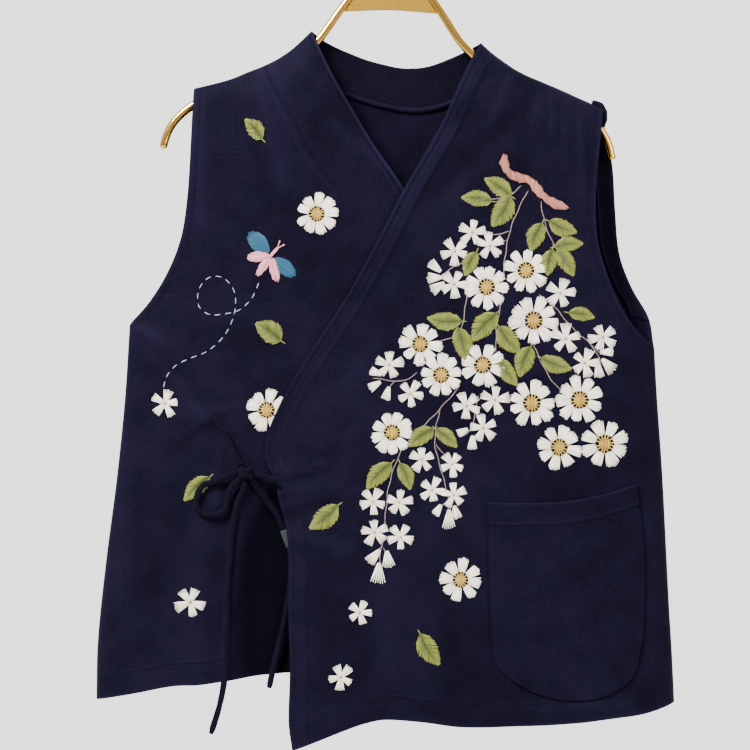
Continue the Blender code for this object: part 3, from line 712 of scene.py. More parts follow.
def smooth_path(points: Iterable[Sequence[float]], step: float) -> Array:
    """Points about a step apart on a smooth curve through a route's own points.

    Args:
        points: the route, in two or three dimensions.
        step: the wanted distance between points.

    Returns:
        The points, one a row.
    """
    base = np.asarray(list(points), float)
    ends = np.vstack([2 * base[0] - base[1], base, 2 * base[-1] - base[-2]])
    route = [base[0]]
    for before, low, high, after in zip(ends, ends[1:], ends[2:], ends[3:]):
        pieces = max(1, round(float(np.linalg.norm(high - low)) / step))
        for t in np.arange(1, pieces + 1) / pieces:
            bend = (2 * before - 5 * low + 4 * high - after) * t**2
            twist = (3 * low - before - 3 * high + after) * t**3
            route.append(0.5 * (2 * low + (high - before) * t + bend + twist))
    return np.array(route)


def resampled(path: Array, run: Array, wanted: Array) -> Array:
    """The path's points at the wanted places of a run along it."""
    return np.stack([np.interp(wanted, run, path[:, axis]) for axis in range(path.shape[1])], axis=1)


def evenly(path: Array, step: float) -> Array:
    """The path again, in steps of equal length as near to step as they divide it."""
    run = np.concatenate([[0.0], np.cumsum(np.linalg.norm(np.diff(path, axis=0), axis=1))])
    return resampled(path, run, np.linspace(0.0, run[-1], max(2, int(round(run[-1] / step)) + 1)))


def headings(path: Array) -> Array:
    """The path's direction at each of its points."""
    heading = np.gradient(path, axis=0)
    return heading / np.linalg.norm(heading, axis=1, keepdims=True)


def turned(way: Array) -> Array:
    """A direction in the plane, or a row of them, turned by a right angle."""
    return np.stack([way[..., 1], -way[..., 0]], axis=-1)


def pointing(angle: float) -> Array:
    """The direction at an angle from up towards +X."""
    return np.array([math.sin(angle), math.cos(angle)])


# ---- Finishes


class NodeTree:
    """A short way to add and link nodes in any tree."""

    tree: bpy.types.NodeTree

    def add(self, kind: str, inputs: dict | None = None, **settings: object) -> bpy.types.Node:
        """Adds a node.

        Args:
            kind: the node's type.
            inputs: values or sockets for its inputs, by name or number.
            settings: its own properties.

        Returns:
            The node.
        """
        node = self.tree.nodes.new(kind)
        for key, value in settings.items():
            setattr(node, key, value)
        for key, value in (inputs or {}).items():
            if isinstance(value, Socket):
                self.tree.links.new(value, node.inputs[key])
            else:
                node.inputs[key].default_value = value
        return node

    def math(self, operation: str, first: object, second: object = 0.0) -> Socket:
        """The result of a sum, product or other step on two values."""
        return self.add("ShaderNodeMath", {0: first, 1: second}, operation=operation).outputs[0]

    def times(self, first: object, second: object) -> Socket:
        """The product of two values."""
        return self.math("MULTIPLY", first, second)


class Nodes(NodeTree):
    """One material's nodes."""

    def __init__(self, name: str) -> None:
        """Starts a material.

        Args:
            name: the material's name.
        """
        self.material = bpy.data.materials.new(name)
        self.material.use_nodes = True
        self.tree = self.material.node_tree
        self.shader = self.tree.nodes["Principled BSDF"]

    def blend(self, share: object, low: object, high: object) -> Socket:
        """A colour a share of the way from low to high."""
        return self.add("ShaderNodeMix", {0: share, 6: low, 7: high}, data_type="RGBA").outputs[2]

    def ramp(self, value: Socket, low: float, high: float) -> Socket:
        """The value spread over 0 to 1 between low and high."""
        return self.add("ShaderNodeMapRange", {0: value, 1: low, 2: high}).outputs[0]

    def noise(self, place: Socket, scale: float, detail: float = 2.0) -> Socket:
        """Noise at a place."""
        return self.add("ShaderNodeTexNoise", {"Vector": place, "Scale": scale, "Detail": detail}).outputs[0]

    def stretched(self, place: Socket, scale: Sequence[float]) -> Socket:
        """The place, scaled along its axes."""
        return self.add("ShaderNodeMapping", {"Vector": place, "Scale": scale}).outputs[0]

    def bump(self, heights: Sequence[tuple[Socket, float, float]]) -> None:
        """Gives the shader its bumps.

        Args:
            heights: height, strength and distance of each.
        """
        normal = None
        for height, strength, distance in heights:
            inputs = {"Height": height, "Strength": strength, "Distance": distance}
            if normal is not None:
                inputs["Normal"] = normal
            normal = self.add("ShaderNodeBump", inputs).outputs[0]
        self.tree.links.new(normal, self.shader.inputs["Normal"])

    def set(self, **values: object) -> None:
        """Sets or links the shader's own sockets; an underscore stands for a space."""
        for key, value in values.items():
            socket = self.shader.inputs[key.replace("_", " ")]
            if isinstance(value, Socket):
                self.tree.links.new(value, socket)
            else:
                socket.default_value = value


@dataclass(frozen=True)
class ClothFinish:
    """Dyed cotton and linen, in a plain weave with uneven threads."""

    name: str
    dark: tuple[float, float, float]
    light: tuple[float, float, float]
    pitch: float = 0.00085
    sheen: float = 0.03
    gloss: float = 0.02

    def make(self) -> bpy.types.Material:
        """Builds the material from the cloth's own coordinates and its painted light: lighter places for
        chafing and painted highlight, darker ones for painted shade.

        Returns:
            The material.
        """
        nodes = Nodes(self.name)
        place = nodes.add("ShaderNodeUVMap", uv_map="cloth").outputs[0]
        wear_and_painted_light = nodes.add("ShaderNodeAttribute", attribute_name="wear_and_painted_light").outputs["Fac"]
        warp = nodes.noise(nodes.stretched(place, (1000.0, 60.0, 1.0)), 1.0, 3.0)
        weft = nodes.noise(nodes.stretched(place, (60.0, 1000.0, 1.0)), 1.0, 3.0)
        slub = nodes.noise(nodes.stretched(place, (70.0, 460.0, 1.0)), 1.0, 2.0)
        fleck = nodes.noise(place, 420.0, 2.0)
        cloud = nodes.noise(place, 38.0, 4.0)
        fade = nodes.noise(place, 7.0, 2.0)
        waves = []
        for direction in ("X", "Y"):
            inputs = {"Vector": place, "Scale": 1.0 / self.pitch / 20.0, "Distortion": 0.8, "Detail": 1.0}
            waves.append(nodes.add("ShaderNodeTexWave", inputs, bands_direction=direction).outputs[1])
        weave = nodes.times(waves[0], waves[1])
        threads = nodes.math("ADD", nodes.times(warp, 0.5), nodes.times(weft, 0.5))
        mix = nodes.times(threads, 0.4)
        for noise, share in ((fleck, 0.25), (cloud, 0.3), (fade, 0.35)):
            mix = nodes.math("ADD", mix, nodes.times(noise, share))
        hue = nodes.ramp(nodes.noise(place, 21.0, 3.0), 0.45, 0.7)
        warm = (self.light[0] * 1.25, self.light[1] * 0.8, self.light[2] * 0.9, 1.0)
        pale = (*[2.6 * value for value in self.light], 1.0)
        deep = (*[0.35 * value for value in self.dark], 1.0)
        colour = nodes.blend(nodes.ramp(mix, 0.54, 0.76), (*self.dark, 1.0), (*self.light, 1.0))
        # The last two layers paint light: positive attribute values lighten the cloth as chafing and painted
        # highlight, negative ones darken it towards deep as painted shade.
        layers = (
            (hue, 0.35, warm),
            (nodes.ramp(slub, 0.6, 0.82), 0.16, pale),
            (nodes.ramp(wear_and_painted_light, 0.0, 1.0), 0.75, pale),
            (nodes.ramp(wear_and_painted_light, 0.0, -1.0), 0.9, deep),
        )
        for where, most, shade in layers:
            colour = nodes.blend(nodes.times(where, most), colour, shade)
        nodes.set(
            Base_Color=colour,
            Roughness=nodes.ramp(threads, -1.6, 1.4),
            Specular_IOR_Level=self.gloss,
            Sheen_Weight=self.sheen,
            Sheen_Roughness=0.5,
            Sheen_Tint=(0.35, 0.33, 0.75, 1.0),
        )
        heights = ((threads, 0.45, 0.0005), (weave, 0.3, 0.0003), (fleck, 0.25, 0.0006), (cloud, 0.2, 0.003))
        nodes.bump(heights)
        return nodes.material


@dataclass(frozen=True)
class ThreadFinish:
    """Embroidery thread, whose shade varies from stitch to stitch."""

    name: str
    dark: tuple[float, float, float]
    light: tuple[float, float, float]
    roughness: float = 0.62
    sheen: float = 0.12
    gloss: float = 0.3

    def make(self) -> bpy.types.Material:
        """Builds the material from each stitch's own shade.

        Returns:
            The material.
        """
        nodes = Nodes(self.name)
        shade = nodes.add("ShaderNodeAttribute", attribute_name="shade").outputs["Fac"]
        place = nodes.add("ShaderNodeTexCoord").outputs["Object"]
        fibre = nodes.noise(place, 900.0, 2.0)
        share = nodes.math("ADD", nodes.times(shade, 0.75), nodes.times(fibre, 0.25))
        colour = nodes.blend(share, (*self.dark, 1.0), (*self.light, 1.0))
        nodes.set(
            Base_Color=colour,
            Roughness=self.roughness,
            Specular_IOR_Level=self.gloss,
            Sheen_Weight=self.sheen,
            Sheen_Roughness=0.4,
        )
        nodes.bump([(fibre, 0.3, 0.0003)])
        return nodes.material


@dataclass(frozen=True)
class MetalFinish:
    """Polished gold-coloured metal."""

    name: str
    dark: tuple[float, float, float]
    light: tuple[float, float, float]
    roughness: tuple[float, float] = (0.2, 0.36)

    def make(self) -> bpy.types.Material:
        """Builds the material, with faint clouds and rub marks.

        Returns:
            The material.
        """
        nodes = Nodes(self.name)
        place = nodes.add("ShaderNodeTexCoord").outputs["Object"]
        cloud = nodes.noise(place, 60.0, 4.0)
        marks = nodes.noise(nodes.stretched(place, (260.0, 1200.0, 1200.0)), 1.0, 2.0)
        colour = nodes.blend(nodes.ramp(cloud, 0.3, 0.75), (*self.dark, 1.0), (*self.light, 1.0))
        spread = {0: marks, 1: 0.3, 2: 0.7, 3: self.roughness[0], 4: self.roughness[1]}
        rough = nodes.add("ShaderNodeMapRange", spread).outputs[0]
        nodes.set(Base_Color=colour, Metallic=1.0, Roughness=rough)
        nodes.bump([(marks, 0.02, 0.0001)])
        return nodes.material


class Finish(Enum):
    """Every finish on the waistcoat and its hanger."""

    NAVY = ClothFinish("navy cotton linen", (0.0016, 0.0012, 0.0044), (0.0043, 0.0032, 0.0106))
    NAVY_INSIDE = ClothFinish("navy inside", (0.0015, 0.0012, 0.0037), (0.0035, 0.0027, 0.0082))
    # The ties' cloth is the navy cloth made darker, as painted shade for the bow.
    NAVY_TIE = ClothFinish("navy tie cloth", (0.0015, 0.0012, 0.0034), (0.0036, 0.0030, 0.0076))
    TAPE = ClothFinish("blank tape", (0.014, 0.016, 0.017), (0.026, 0.029, 0.031), 0.0006, 0.05, 0.05)
    SEWING = ThreadFinish(
        "navy sewing thread", (0.0027, 0.0022, 0.007), (0.007, 0.006, 0.018), 0.7, 0.02, 0.03
    )
    CREAM = ThreadFinish("cream thread", (0.42, 0.365, 0.275), (0.99, 0.92, 0.79))
    YELLOW = ThreadFinish("yellow thread", (0.27, 0.135, 0.009), (0.54, 0.375, 0.072))
    GREEN = ThreadFinish("green thread", (0.030, 0.045, 0.0022), (0.215, 0.230, 0.034))
    SALMON = ThreadFinish("salmon thread", (0.165, 0.050, 0.032), (0.42, 0.165, 0.110))
    STEM = ThreadFinish("dusty pink thread", (0.095, 0.060, 0.066), (0.215, 0.155, 0.165))
    PINK = ThreadFinish("pink thread", (0.40, 0.120, 0.150), (0.74, 0.335, 0.385))
    BLUE = ThreadFinish("turquoise thread", (0.0030, 0.027, 0.054), (0.010, 0.082, 0.145))
    LAVENDER = ThreadFinish("lavender thread", (0.17, 0.165, 0.26), (0.32, 0.31, 0.43))
    GOLD = MetalFinish("polished gold metal", (0.56, 0.315, 0.065), (0.62, 0.36, 0.085), (0.15, 0.2))
    GOLD_PLATE = MetalFinish("satin gold plate", (0.42, 0.243, 0.030), (0.45, 0.262, 0.036), (0.38, 0.43))

    def material(self) -> bpy.types.Material:
        """The finish's material, made once."""
        return bpy.data.materials.get(self.value.name) or self.value.make()


# ---- Meshes


def place_object(name: str, data: bpy.types.ID) -> Object:
    """A new object in the scene, made of its data.

    Args:
        name: its name.
        data: its data.

    Returns:
        The object.
    """
    made = bpy.data.objects.new(name, data)
    bpy.context.scene.collection.objects.link(made)
    return made


def fit(made: Object, node: str) -> None:
    """Sets a piece in its solid's place on the waistcoat's one body.

    Args:
        made: the object.
        node: the solid that it replaces.
    """
    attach(made, BODY)
    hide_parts(node)


def new_mesh(name: str, points: Array, faces: Sequence[Sequence[int]], finish: Finish) -> Object:
    """A smooth-shaded object from points in millimetres.

    Args:
        name: the piece's name.
        points: its points.
        faces: its faces, by point number.
        finish: its finish.

    Returns:
        The object, at the origin.
    """
    mesh = bpy.data.meshes.new(name)
    mesh.from_pydata((np.asarray(points, float) * MM).tolist(), [], [list(face) for face in faces])
    mesh.update()
    mesh.shade_smooth()
    mesh.materials.append(finish.material())
    return place_object(name, mesh)


def grid_faces(rows: int, columns: int, flip: bool = False, closed: bool = False) -> list[tuple[int, ...]]:
    """The faces of a grid.

    Args:
        rows: how many rows of points.
        columns: how many points in a row.
        flip: turns the faces round.
        closed: joins the last column to the first.

    Returns:
        Quads by point number.
    """
    faces = []
    for row in range(rows - 1):
        for column in range(columns if closed else columns - 1):
            after = (column + 1) % columns
            low, high = row * columns, (row + 1) * columns
            quad = (low + column, low + after, high + after, high + column)
            faces.append(quad[::-1] if flip else quad)
    return faces


def set_uv(made: Object, coordinates: Array) -> None:
    """Gives a mesh its cloth coordinates.

    Args:
        made: the object.
        coordinates: u, v of each point, in millimetres.
    """
    mesh = made.data
    layer = mesh.uv_layers.new(name="cloth")
    corners = np.zeros(len(mesh.loops), np.int32)
    mesh.loops.foreach_get("vertex_index", corners)
    layer.data.foreach_set("uv", (np.asarray(coordinates, float)[corners] * MM).astype(np.float32).ravel())


def add_bevel(made: Object, name: str, width: float, segments: int, angle: float) -> None:
    """Rounds an object's sharp edges.

    Args:
        made: the object.
        name: the modifier's name.
        width: the rounding's width.
        segments: how many steps it has.
        angle: the least angle, in degrees, of an edge that is rounded.
    """
    bevel = made.modifiers.new(name, "BEVEL")
    bevel.width = width * MM
    bevel.segments = segments
    bevel.limit_method = "ANGLE"
    bevel.angle_limit = math.radians(angle)


def add_wall(made: Object, thickness: float) -> None:
    """Gives a cloth grid its thickness inwards and soft rims.

    Args:
        made: the object, whose faces point outwards.
        thickness: the wall's thickness.
    """
    solidify = made.modifiers.new("cloth thickness", "SOLIDIFY")
    solidify.thickness = thickness * MM
    solidify.offset = -1.0
    solidify.use_even_offset = False
    add_bevel(made, "soft rims", CLOTH_RIM, 2, 55)


class SewingTree(NodeTree):
    """Geometry Nodes that turn an object of lines into sewing."""

    def __init__(self, name: str, kinds: dict[str, str]) -> None:
        """Starts a tree that takes lines.

        Args:
            name: the tree's name.
            kinds: the type of each input after the lines, by its label.
        """
        self.tree = bpy.data.node_groups.new(name, "GeometryNodeTree")
        face = self.tree.interface
        face.new_socket("Lines", in_out="INPUT", socket_type="NodeSocketGeometry")
        self.keys = {
            label: face.new_socket(label, in_out="INPUT", socket_type="NodeSocket" + kind).identifier
            for label, kind in kinds.items()
        }
        face.new_socket("Sewing", in_out="OUTPUT", socket_type="NodeSocketGeometry")
        self.start = self.add("NodeGroupInput").outputs
        self.lines = self.add("GeometryNodeMeshToCurve", {"Mesh": self.start["Lines"]}).outputs["Curve"]

    def end(self, geometry: Socket) -> None:
        """Dresses the geometry in its finish and ends the tree with it."""
        dressed = {"Geometry": geometry, "Material": self.start["Finish"]}
        self.add("NodeGroupOutput", {"Sewing": self.add("GeometryNodeSetMaterial", dressed).outputs[0]})

    def grow(self, base: Object, values: dict[str, object]) -> Object:
        """Runs the tree on an object of lines and keeps the plain mesh.

        Args:
            base: the object of lines.
            values: the tree's inputs, by label.

        Returns:
            The object, with the mesh that the tree makes.
        """
        modifier = base.modifiers.new("growing", "NODES")
        modifier.node_group = self.tree
        for label, value in values.items():
            modifier[self.keys[label]] = value
        graph = bpy.context.evaluated_depsgraph_get()
        mesh = bpy.data.meshes.new_from_object(base.evaluated_get(graph))
        base.modifiers.remove(modifier)
        old = base.data
        base.data = mesh
        bpy.data.meshes.remove(old)
        mesh.name = base.name
        return base


class ThreadTree(SewingTree):
    """Laid threads: a tube along each line, thinner at its ends."""

    def __init__(self) -> None:
        """Builds the tree."""
        super().__init__("laid threads", {"Sides": "Int", "End Thickness": "Float", "Finish": "Material"})
        share = self.add("GeometryNodeSplineParameter").outputs["Factor"]
        arch = self.math("PINGPONG", share, 0.5)
        swell = {"Value": arch, "From Max": 0.22, "To Min": self.start["End Thickness"]}
        rise = self.add("ShaderNodeMapRange", swell).outputs["Result"]
        named = self.add("GeometryNodeInputNamedAttribute", {"Name": "thick"}, data_type="FLOAT")
        circle = {"Radius": 1.0, "Resolution": self.start["Sides"]}
        ring = self.add("GeometryNodeCurvePrimitiveCircle", circle).outputs["Curve"]
        tube = {
            "Curve": self.lines,
            "Profile Curve": ring,
            "Fill Caps": True,
            "Scale": self.times(named.outputs["Attribute"], rise),
        }
        mesh = self.add("GeometryNodeCurveToMesh", tube).outputs["Mesh"]
        smooth = self.add("GeometryNodeSetShadeSmooth", {0: mesh}).outputs[0]
        self.end(self.add("GeometryNodeRealizeInstances", {0: smooth}).outputs[0])


class StitchTree(SewingTree):
    """Running stitches: a long bead at each step along a line."""

    def __init__(self) -> None:
        """Builds the tree."""
        kinds = {"Pitch": "Float", "Stitch Length": "Float", "Thread Radius": "Float", "Finish": "Material"}
        super().__init__("running stitches", kinds)
        steps = {"Curve": self.lines, "Length": self.start["Pitch"]}
        spaced = self.add("GeometryNodeResampleCurve", steps, mode="LENGTH").outputs["Curve"]
        ball = {"Segments": 6, "Rings": 5, "Radius": 1.0}
        bead = self.add("GeometryNodeMeshUVSphere", ball).outputs["Mesh"]
        thread = self.start["Thread Radius"]
        half = self.times(self.start["Stitch Length"], 0.5)
        size = self.add("ShaderNodeCombineXYZ", {"X": thread, "Y": thread, "Z": half}).outputs[0]
        heading = {"Vector": self.add("GeometryNodeInputTangent").outputs[0]}
        turn = self.add("FunctionNodeAlignRotationToVector", heading, axis="Z").outputs["Rotation"]
        row = {"Points": spaced, "Instance": bead, "Rotation": turn, "Scale": size}
        placed = self.add("GeometryNodeInstanceOnPoints", row).outputs[0]
        real = self.add("GeometryNodeRealizeInstances", {0: placed}).outputs[0]
        self.end(self.add("GeometryNodeSetShadeSmooth", {0: real}).outputs[0])


def line_object(name: str, paths: Sequence[Array], values: dict[str, Array] | None = None) -> Object:
    """An object of plain lines.

    Args:
        name: its name.
        paths: each line's points in millimetres.
        values: a value for each point, by attribute name.

    Returns:
        The object.
    """
    edges, first = [], 0
    for path in paths:
        edges += [(first + step, first + step + 1) for step in range(len(path) - 1)]
        first += len(path)
    mesh = bpy.data.meshes.new(name)
    mesh.from_pydata((np.vstack(paths) * MM).tolist(), edges, [])
    for key, value in (values or {}).items():
        mesh.attributes.new(key, "FLOAT", "POINT").data.foreach_set("value", np.asarray(value, np.float32))
    return place_object(name, mesh)


# ---- Cloth pieces

# How far in from a free edge, and how far up from a hem, the grids have close lines
EDGE_COLUMNS = (
    0.0, 0.4, 1.0, 1.7, 2.5, 3.3, 4.0, 4.6, 5.2, 6.0, 7.0, 8.6, 10.6, 12.6, 14.2, 15.5, 16.4, 17.4, 18.6,
)
HEM_ROWS = (0.0, 0.5, 1.8, 4.5, 8.0, 11.5, 15.0, 17.2, 18.4, 19.3, 20.2, 21.1, 22.0, 23.2, 25.0)
# The neck facing's close rows up from its rolled edge, and its height
NECK_ROWS = (0.0, 0.5, 1.1, 1.8, 2.6, 3.4, 4.2, 5.0, 5.8, 6.6, 7.6, 9.0)
NECK_HEIGHT = 48.0
# The armhole facing's columns: distance from the armhole, step off the back, and painted light, a painted
# highlight along its rolled edge with painted shade beside it
ARMHOLE_COLUMNS = (
    (17.0, 0.5, 0.2), (16.2, 0.9, 0.7), (15.0, 0.7, 0.3), (13.8, 0.1, -0.6), (12.4, 0.0, 0.15),
    (9.6, 0.0, 0.0), (7.0, 0.0, 0.0), (4.4, 0.0, 0.0), (2.2, 0.0, 0.3), (0.8, 0.0, 0.6),
)


@dataclass
class Side:
    """One side edge of a panel: x as a function of z, from low to high."""

    read: Line
    low: float
    high: float
    seam: bool
    corner: float = 0.0

    def up(self, share: Array) -> Array:
        """The edge's x at a share of its height."""
        return self.read(self.low + (self.high - self.low) * share)

    def bend(self) -> float:
        """The share of its height at which its underarm lies."""
        return (self.corner - self.low) / (self.high - self.low)

    @classmethod
    def free(cls, rows: Rows) -> "Side":
        """A free edge through rows of z, x."""
        return cls(lambda z: along(rows, z), rows[0][0], rows[-1][0], False)

    @classmethod
    def sewn(cls, side: Rows, armhole: Rows) -> "Side":
        """A side seam and the armhole above it, with a corner between them.

        Args:
            side: the seam's rows of z, x.
            armhole: the armhole's rows of z, x.

        Returns:
            The edge.
        """
        corner = side[-1][0]
        return cls(
            lambda z: np.where(z <= corner, along(side, z), along(armhole, z)),
            side[0][0], armhole[-1][0], True, corner,
        )


@dataclass
class ClothPanel:
    """A cloth panel: a fine grid on its form, with a wall's thickness."""

    name: str
    node: str
    left: Side
    right: Side
    hem: Line
    top: Line
    surface: Surface
    wear_and_painted_light: Surface
    finish: Finish = Finish.NAVY
    thickness: float = CLOTH
    breaks: tuple[float, ...] = ()
    faces_front: bool = True
    top_round: float = FRONT_TOP_ROUND
    step: float = 3.4
    grid: Array = field(default_factory=lambda: np.zeros((0, 0, 3)))
    made: Object | None = None

    def columns(self) -> Array:
        """Shares across between the trims, close together where a side seam rounds off.

        Returns:
            Shares of the panel's width.
        """
        width = float(self.right.read(self.right.low) - self.left.read(self.left.low))
        near = SIDE_ROUND * (1.0 - np.cos(np.radians(np.arange(0, 91, 5)))) / width
        start = near if self.left.seam else np.zeros(1)
        end = 1.0 - (near[::-1] if self.right.seam else np.zeros(1))
        count = max(2, round((end[0] - start[-1]) * width / self.step))
        return np.concatenate([start[:-1], np.linspace(start[-1], end[0], count, endpoint=False), end])

    def rows(self) -> Array:
        """Shares up, with rows at the breaks, and close rows at the ridge, the hem and its stitching.

        Returns:
            Shares of the panel's height.
        """
        height = self.left.high - self.left.low if self.left.seam else self.right.high - self.right.low
        close = 1.0 - self.top_round * (1.0 - np.cos(np.radians(np.arange(90, -1, -6)))) / height
        low = np.array(HEM_ROWS) / height
        marks = [float(low[-1]), *self.breaks, float(close[0])]
        shares = [low[:-1]]
        for low_mark, high_mark in zip(marks, marks[1:]):
            count = max(1, round((high_mark - low_mark) * height / self.step))
            shares.append(np.linspace(low_mark, high_mark, count, endpoint=False))
        return np.concatenate([*shares, close])

    def across(self, x0: Array, x1: Array) -> Array:
        """Every row's x from x0 to x1, with the trims of free edges at their own widths.

        Args:
            x0: each row's left end.
            x1: each row's right end.

        Returns:
            Rows of x.
        """
        trim = np.array(EDGE_COLUMNS)
        left = x0 + (np.zeros(1) if self.left.seam else trim)[None, :]
        right = x1 - (np.zeros(1) if self.right.seam else trim[::-1])[None, :]
        middle = left[:, -1:] + (right[:, :1] - left[:, -1:]) * self.columns()[None, 1:-1]
        return np.concatenate([left, middle, right], axis=1)

    def build(self) -> None:
        """Builds the panel's grid and its wall."""
        v = self.rows()[:, None]
        x = self.across(self.left.up(v), self.right.up(v))
        share = (x - x[:, :1]) / (x[:, -1:] - x[:, :1])
        bottom = self.hem(x[:1, :1] + (x[:1, -1:] - x[:1, :1]) * share)
        summit = self.top(x[-1:, :1] + (x[-1:, -1:] - x[-1:, :1]) * share)
        z = bottom + (summit - bottom) * v
        self.grid = np.stack([x, self.surface(x, z), z], axis=-1)
        self.close_seams()
        flip = not self.faces_front
        self.made = self.from_grid(self.name, self.grid, self.finish, self.thickness, flip, self.wear_and_painted_light)

    def close_seams(self) -> None:
        """Draws the sewn edges below the underarms together, so that no light passes between two panels."""
        for side, column in ((self.left, 0), (self.right, -1)):
            if side.seam:
                edge = self.grid[:, column]
                parted = soft_step((edge[:, 2] - side.corner) / SEAM_EASE + 1.0)
                away = np.abs(edge[:, 1]) - SEAM_HALF_GAP
                edge[:, 1] = np.sign(edge[:, 1]) * (SEAM_HALF_GAP + away * parted)

    @staticmethod
    def from_grid(
        name: str, grid: Array, finish: Finish, thickness: float, flip: bool,
        wear_and_painted_light: Surface | None = None,
    ) -> Object:
        """A wall from a grid of points.

        Args:
            name: the piece's name.
            grid: rows of columns of points.
            finish: its finish.
            thickness: its thickness.
            flip: turns its faces round.
            wear_and_painted_light: how light, as chafing and painted highlight, or dark, as painted shade, its
                colour is at x, z.

        Returns:
            The object.
        """
        rows, columns = grid.shape[:2]
        made = new_mesh(name, grid.reshape(-1, 3), grid_faces(rows, columns, flip), finish)
        if wear_and_painted_light is not None:
            # Stores the painted light for each point: chafing and painted highlight above 0, painted shade
            # below 0.
            wear_and_light_values = np.clip(wear_and_painted_light(grid[:, :, 0], grid[:, :, 2]), -1.0, 1.0).astype(np.float32)
            made.data.attributes.new("wear_and_painted_light", "FLOAT", "POINT").data.foreach_set("value", wear_and_light_values.ravel())
        steps = np.linalg.norm(np.diff(grid[:, :, :2], axis=1), axis=2)
        run = np.concatenate([np.zeros((rows, 1)), np.cumsum(steps, axis=1)], axis=1) + grid[:, :1, 0]
        set_uv(made, np.stack([run.ravel(), grid[:, :, 2].ravel()], axis=1))
        add_wall(made, thickness)
        return made

    def inner(self, distance: float) -> Array:
        """The grid moved inwards along its own normals.

        Args:
            distance: how far inwards.

        Returns:
            The moved grid.
        """
        across = np.gradient(self.grid, axis=1)
        upright = np.gradient(self.grid, axis=0)
        normal = np.cross(across, upright)
        normal /= np.linalg.norm(normal, axis=-1, keepdims=True)
        return self.grid + normal * (-distance if self.faces_front else distance)

    def hang(self, slot: str, rests_on: Sequence[str]) -> None:
        """Args:
            slot: its colour slot; not used.
            rests_on: the pieces that hold it; not used.
        """
        fit(self.made, self.node)


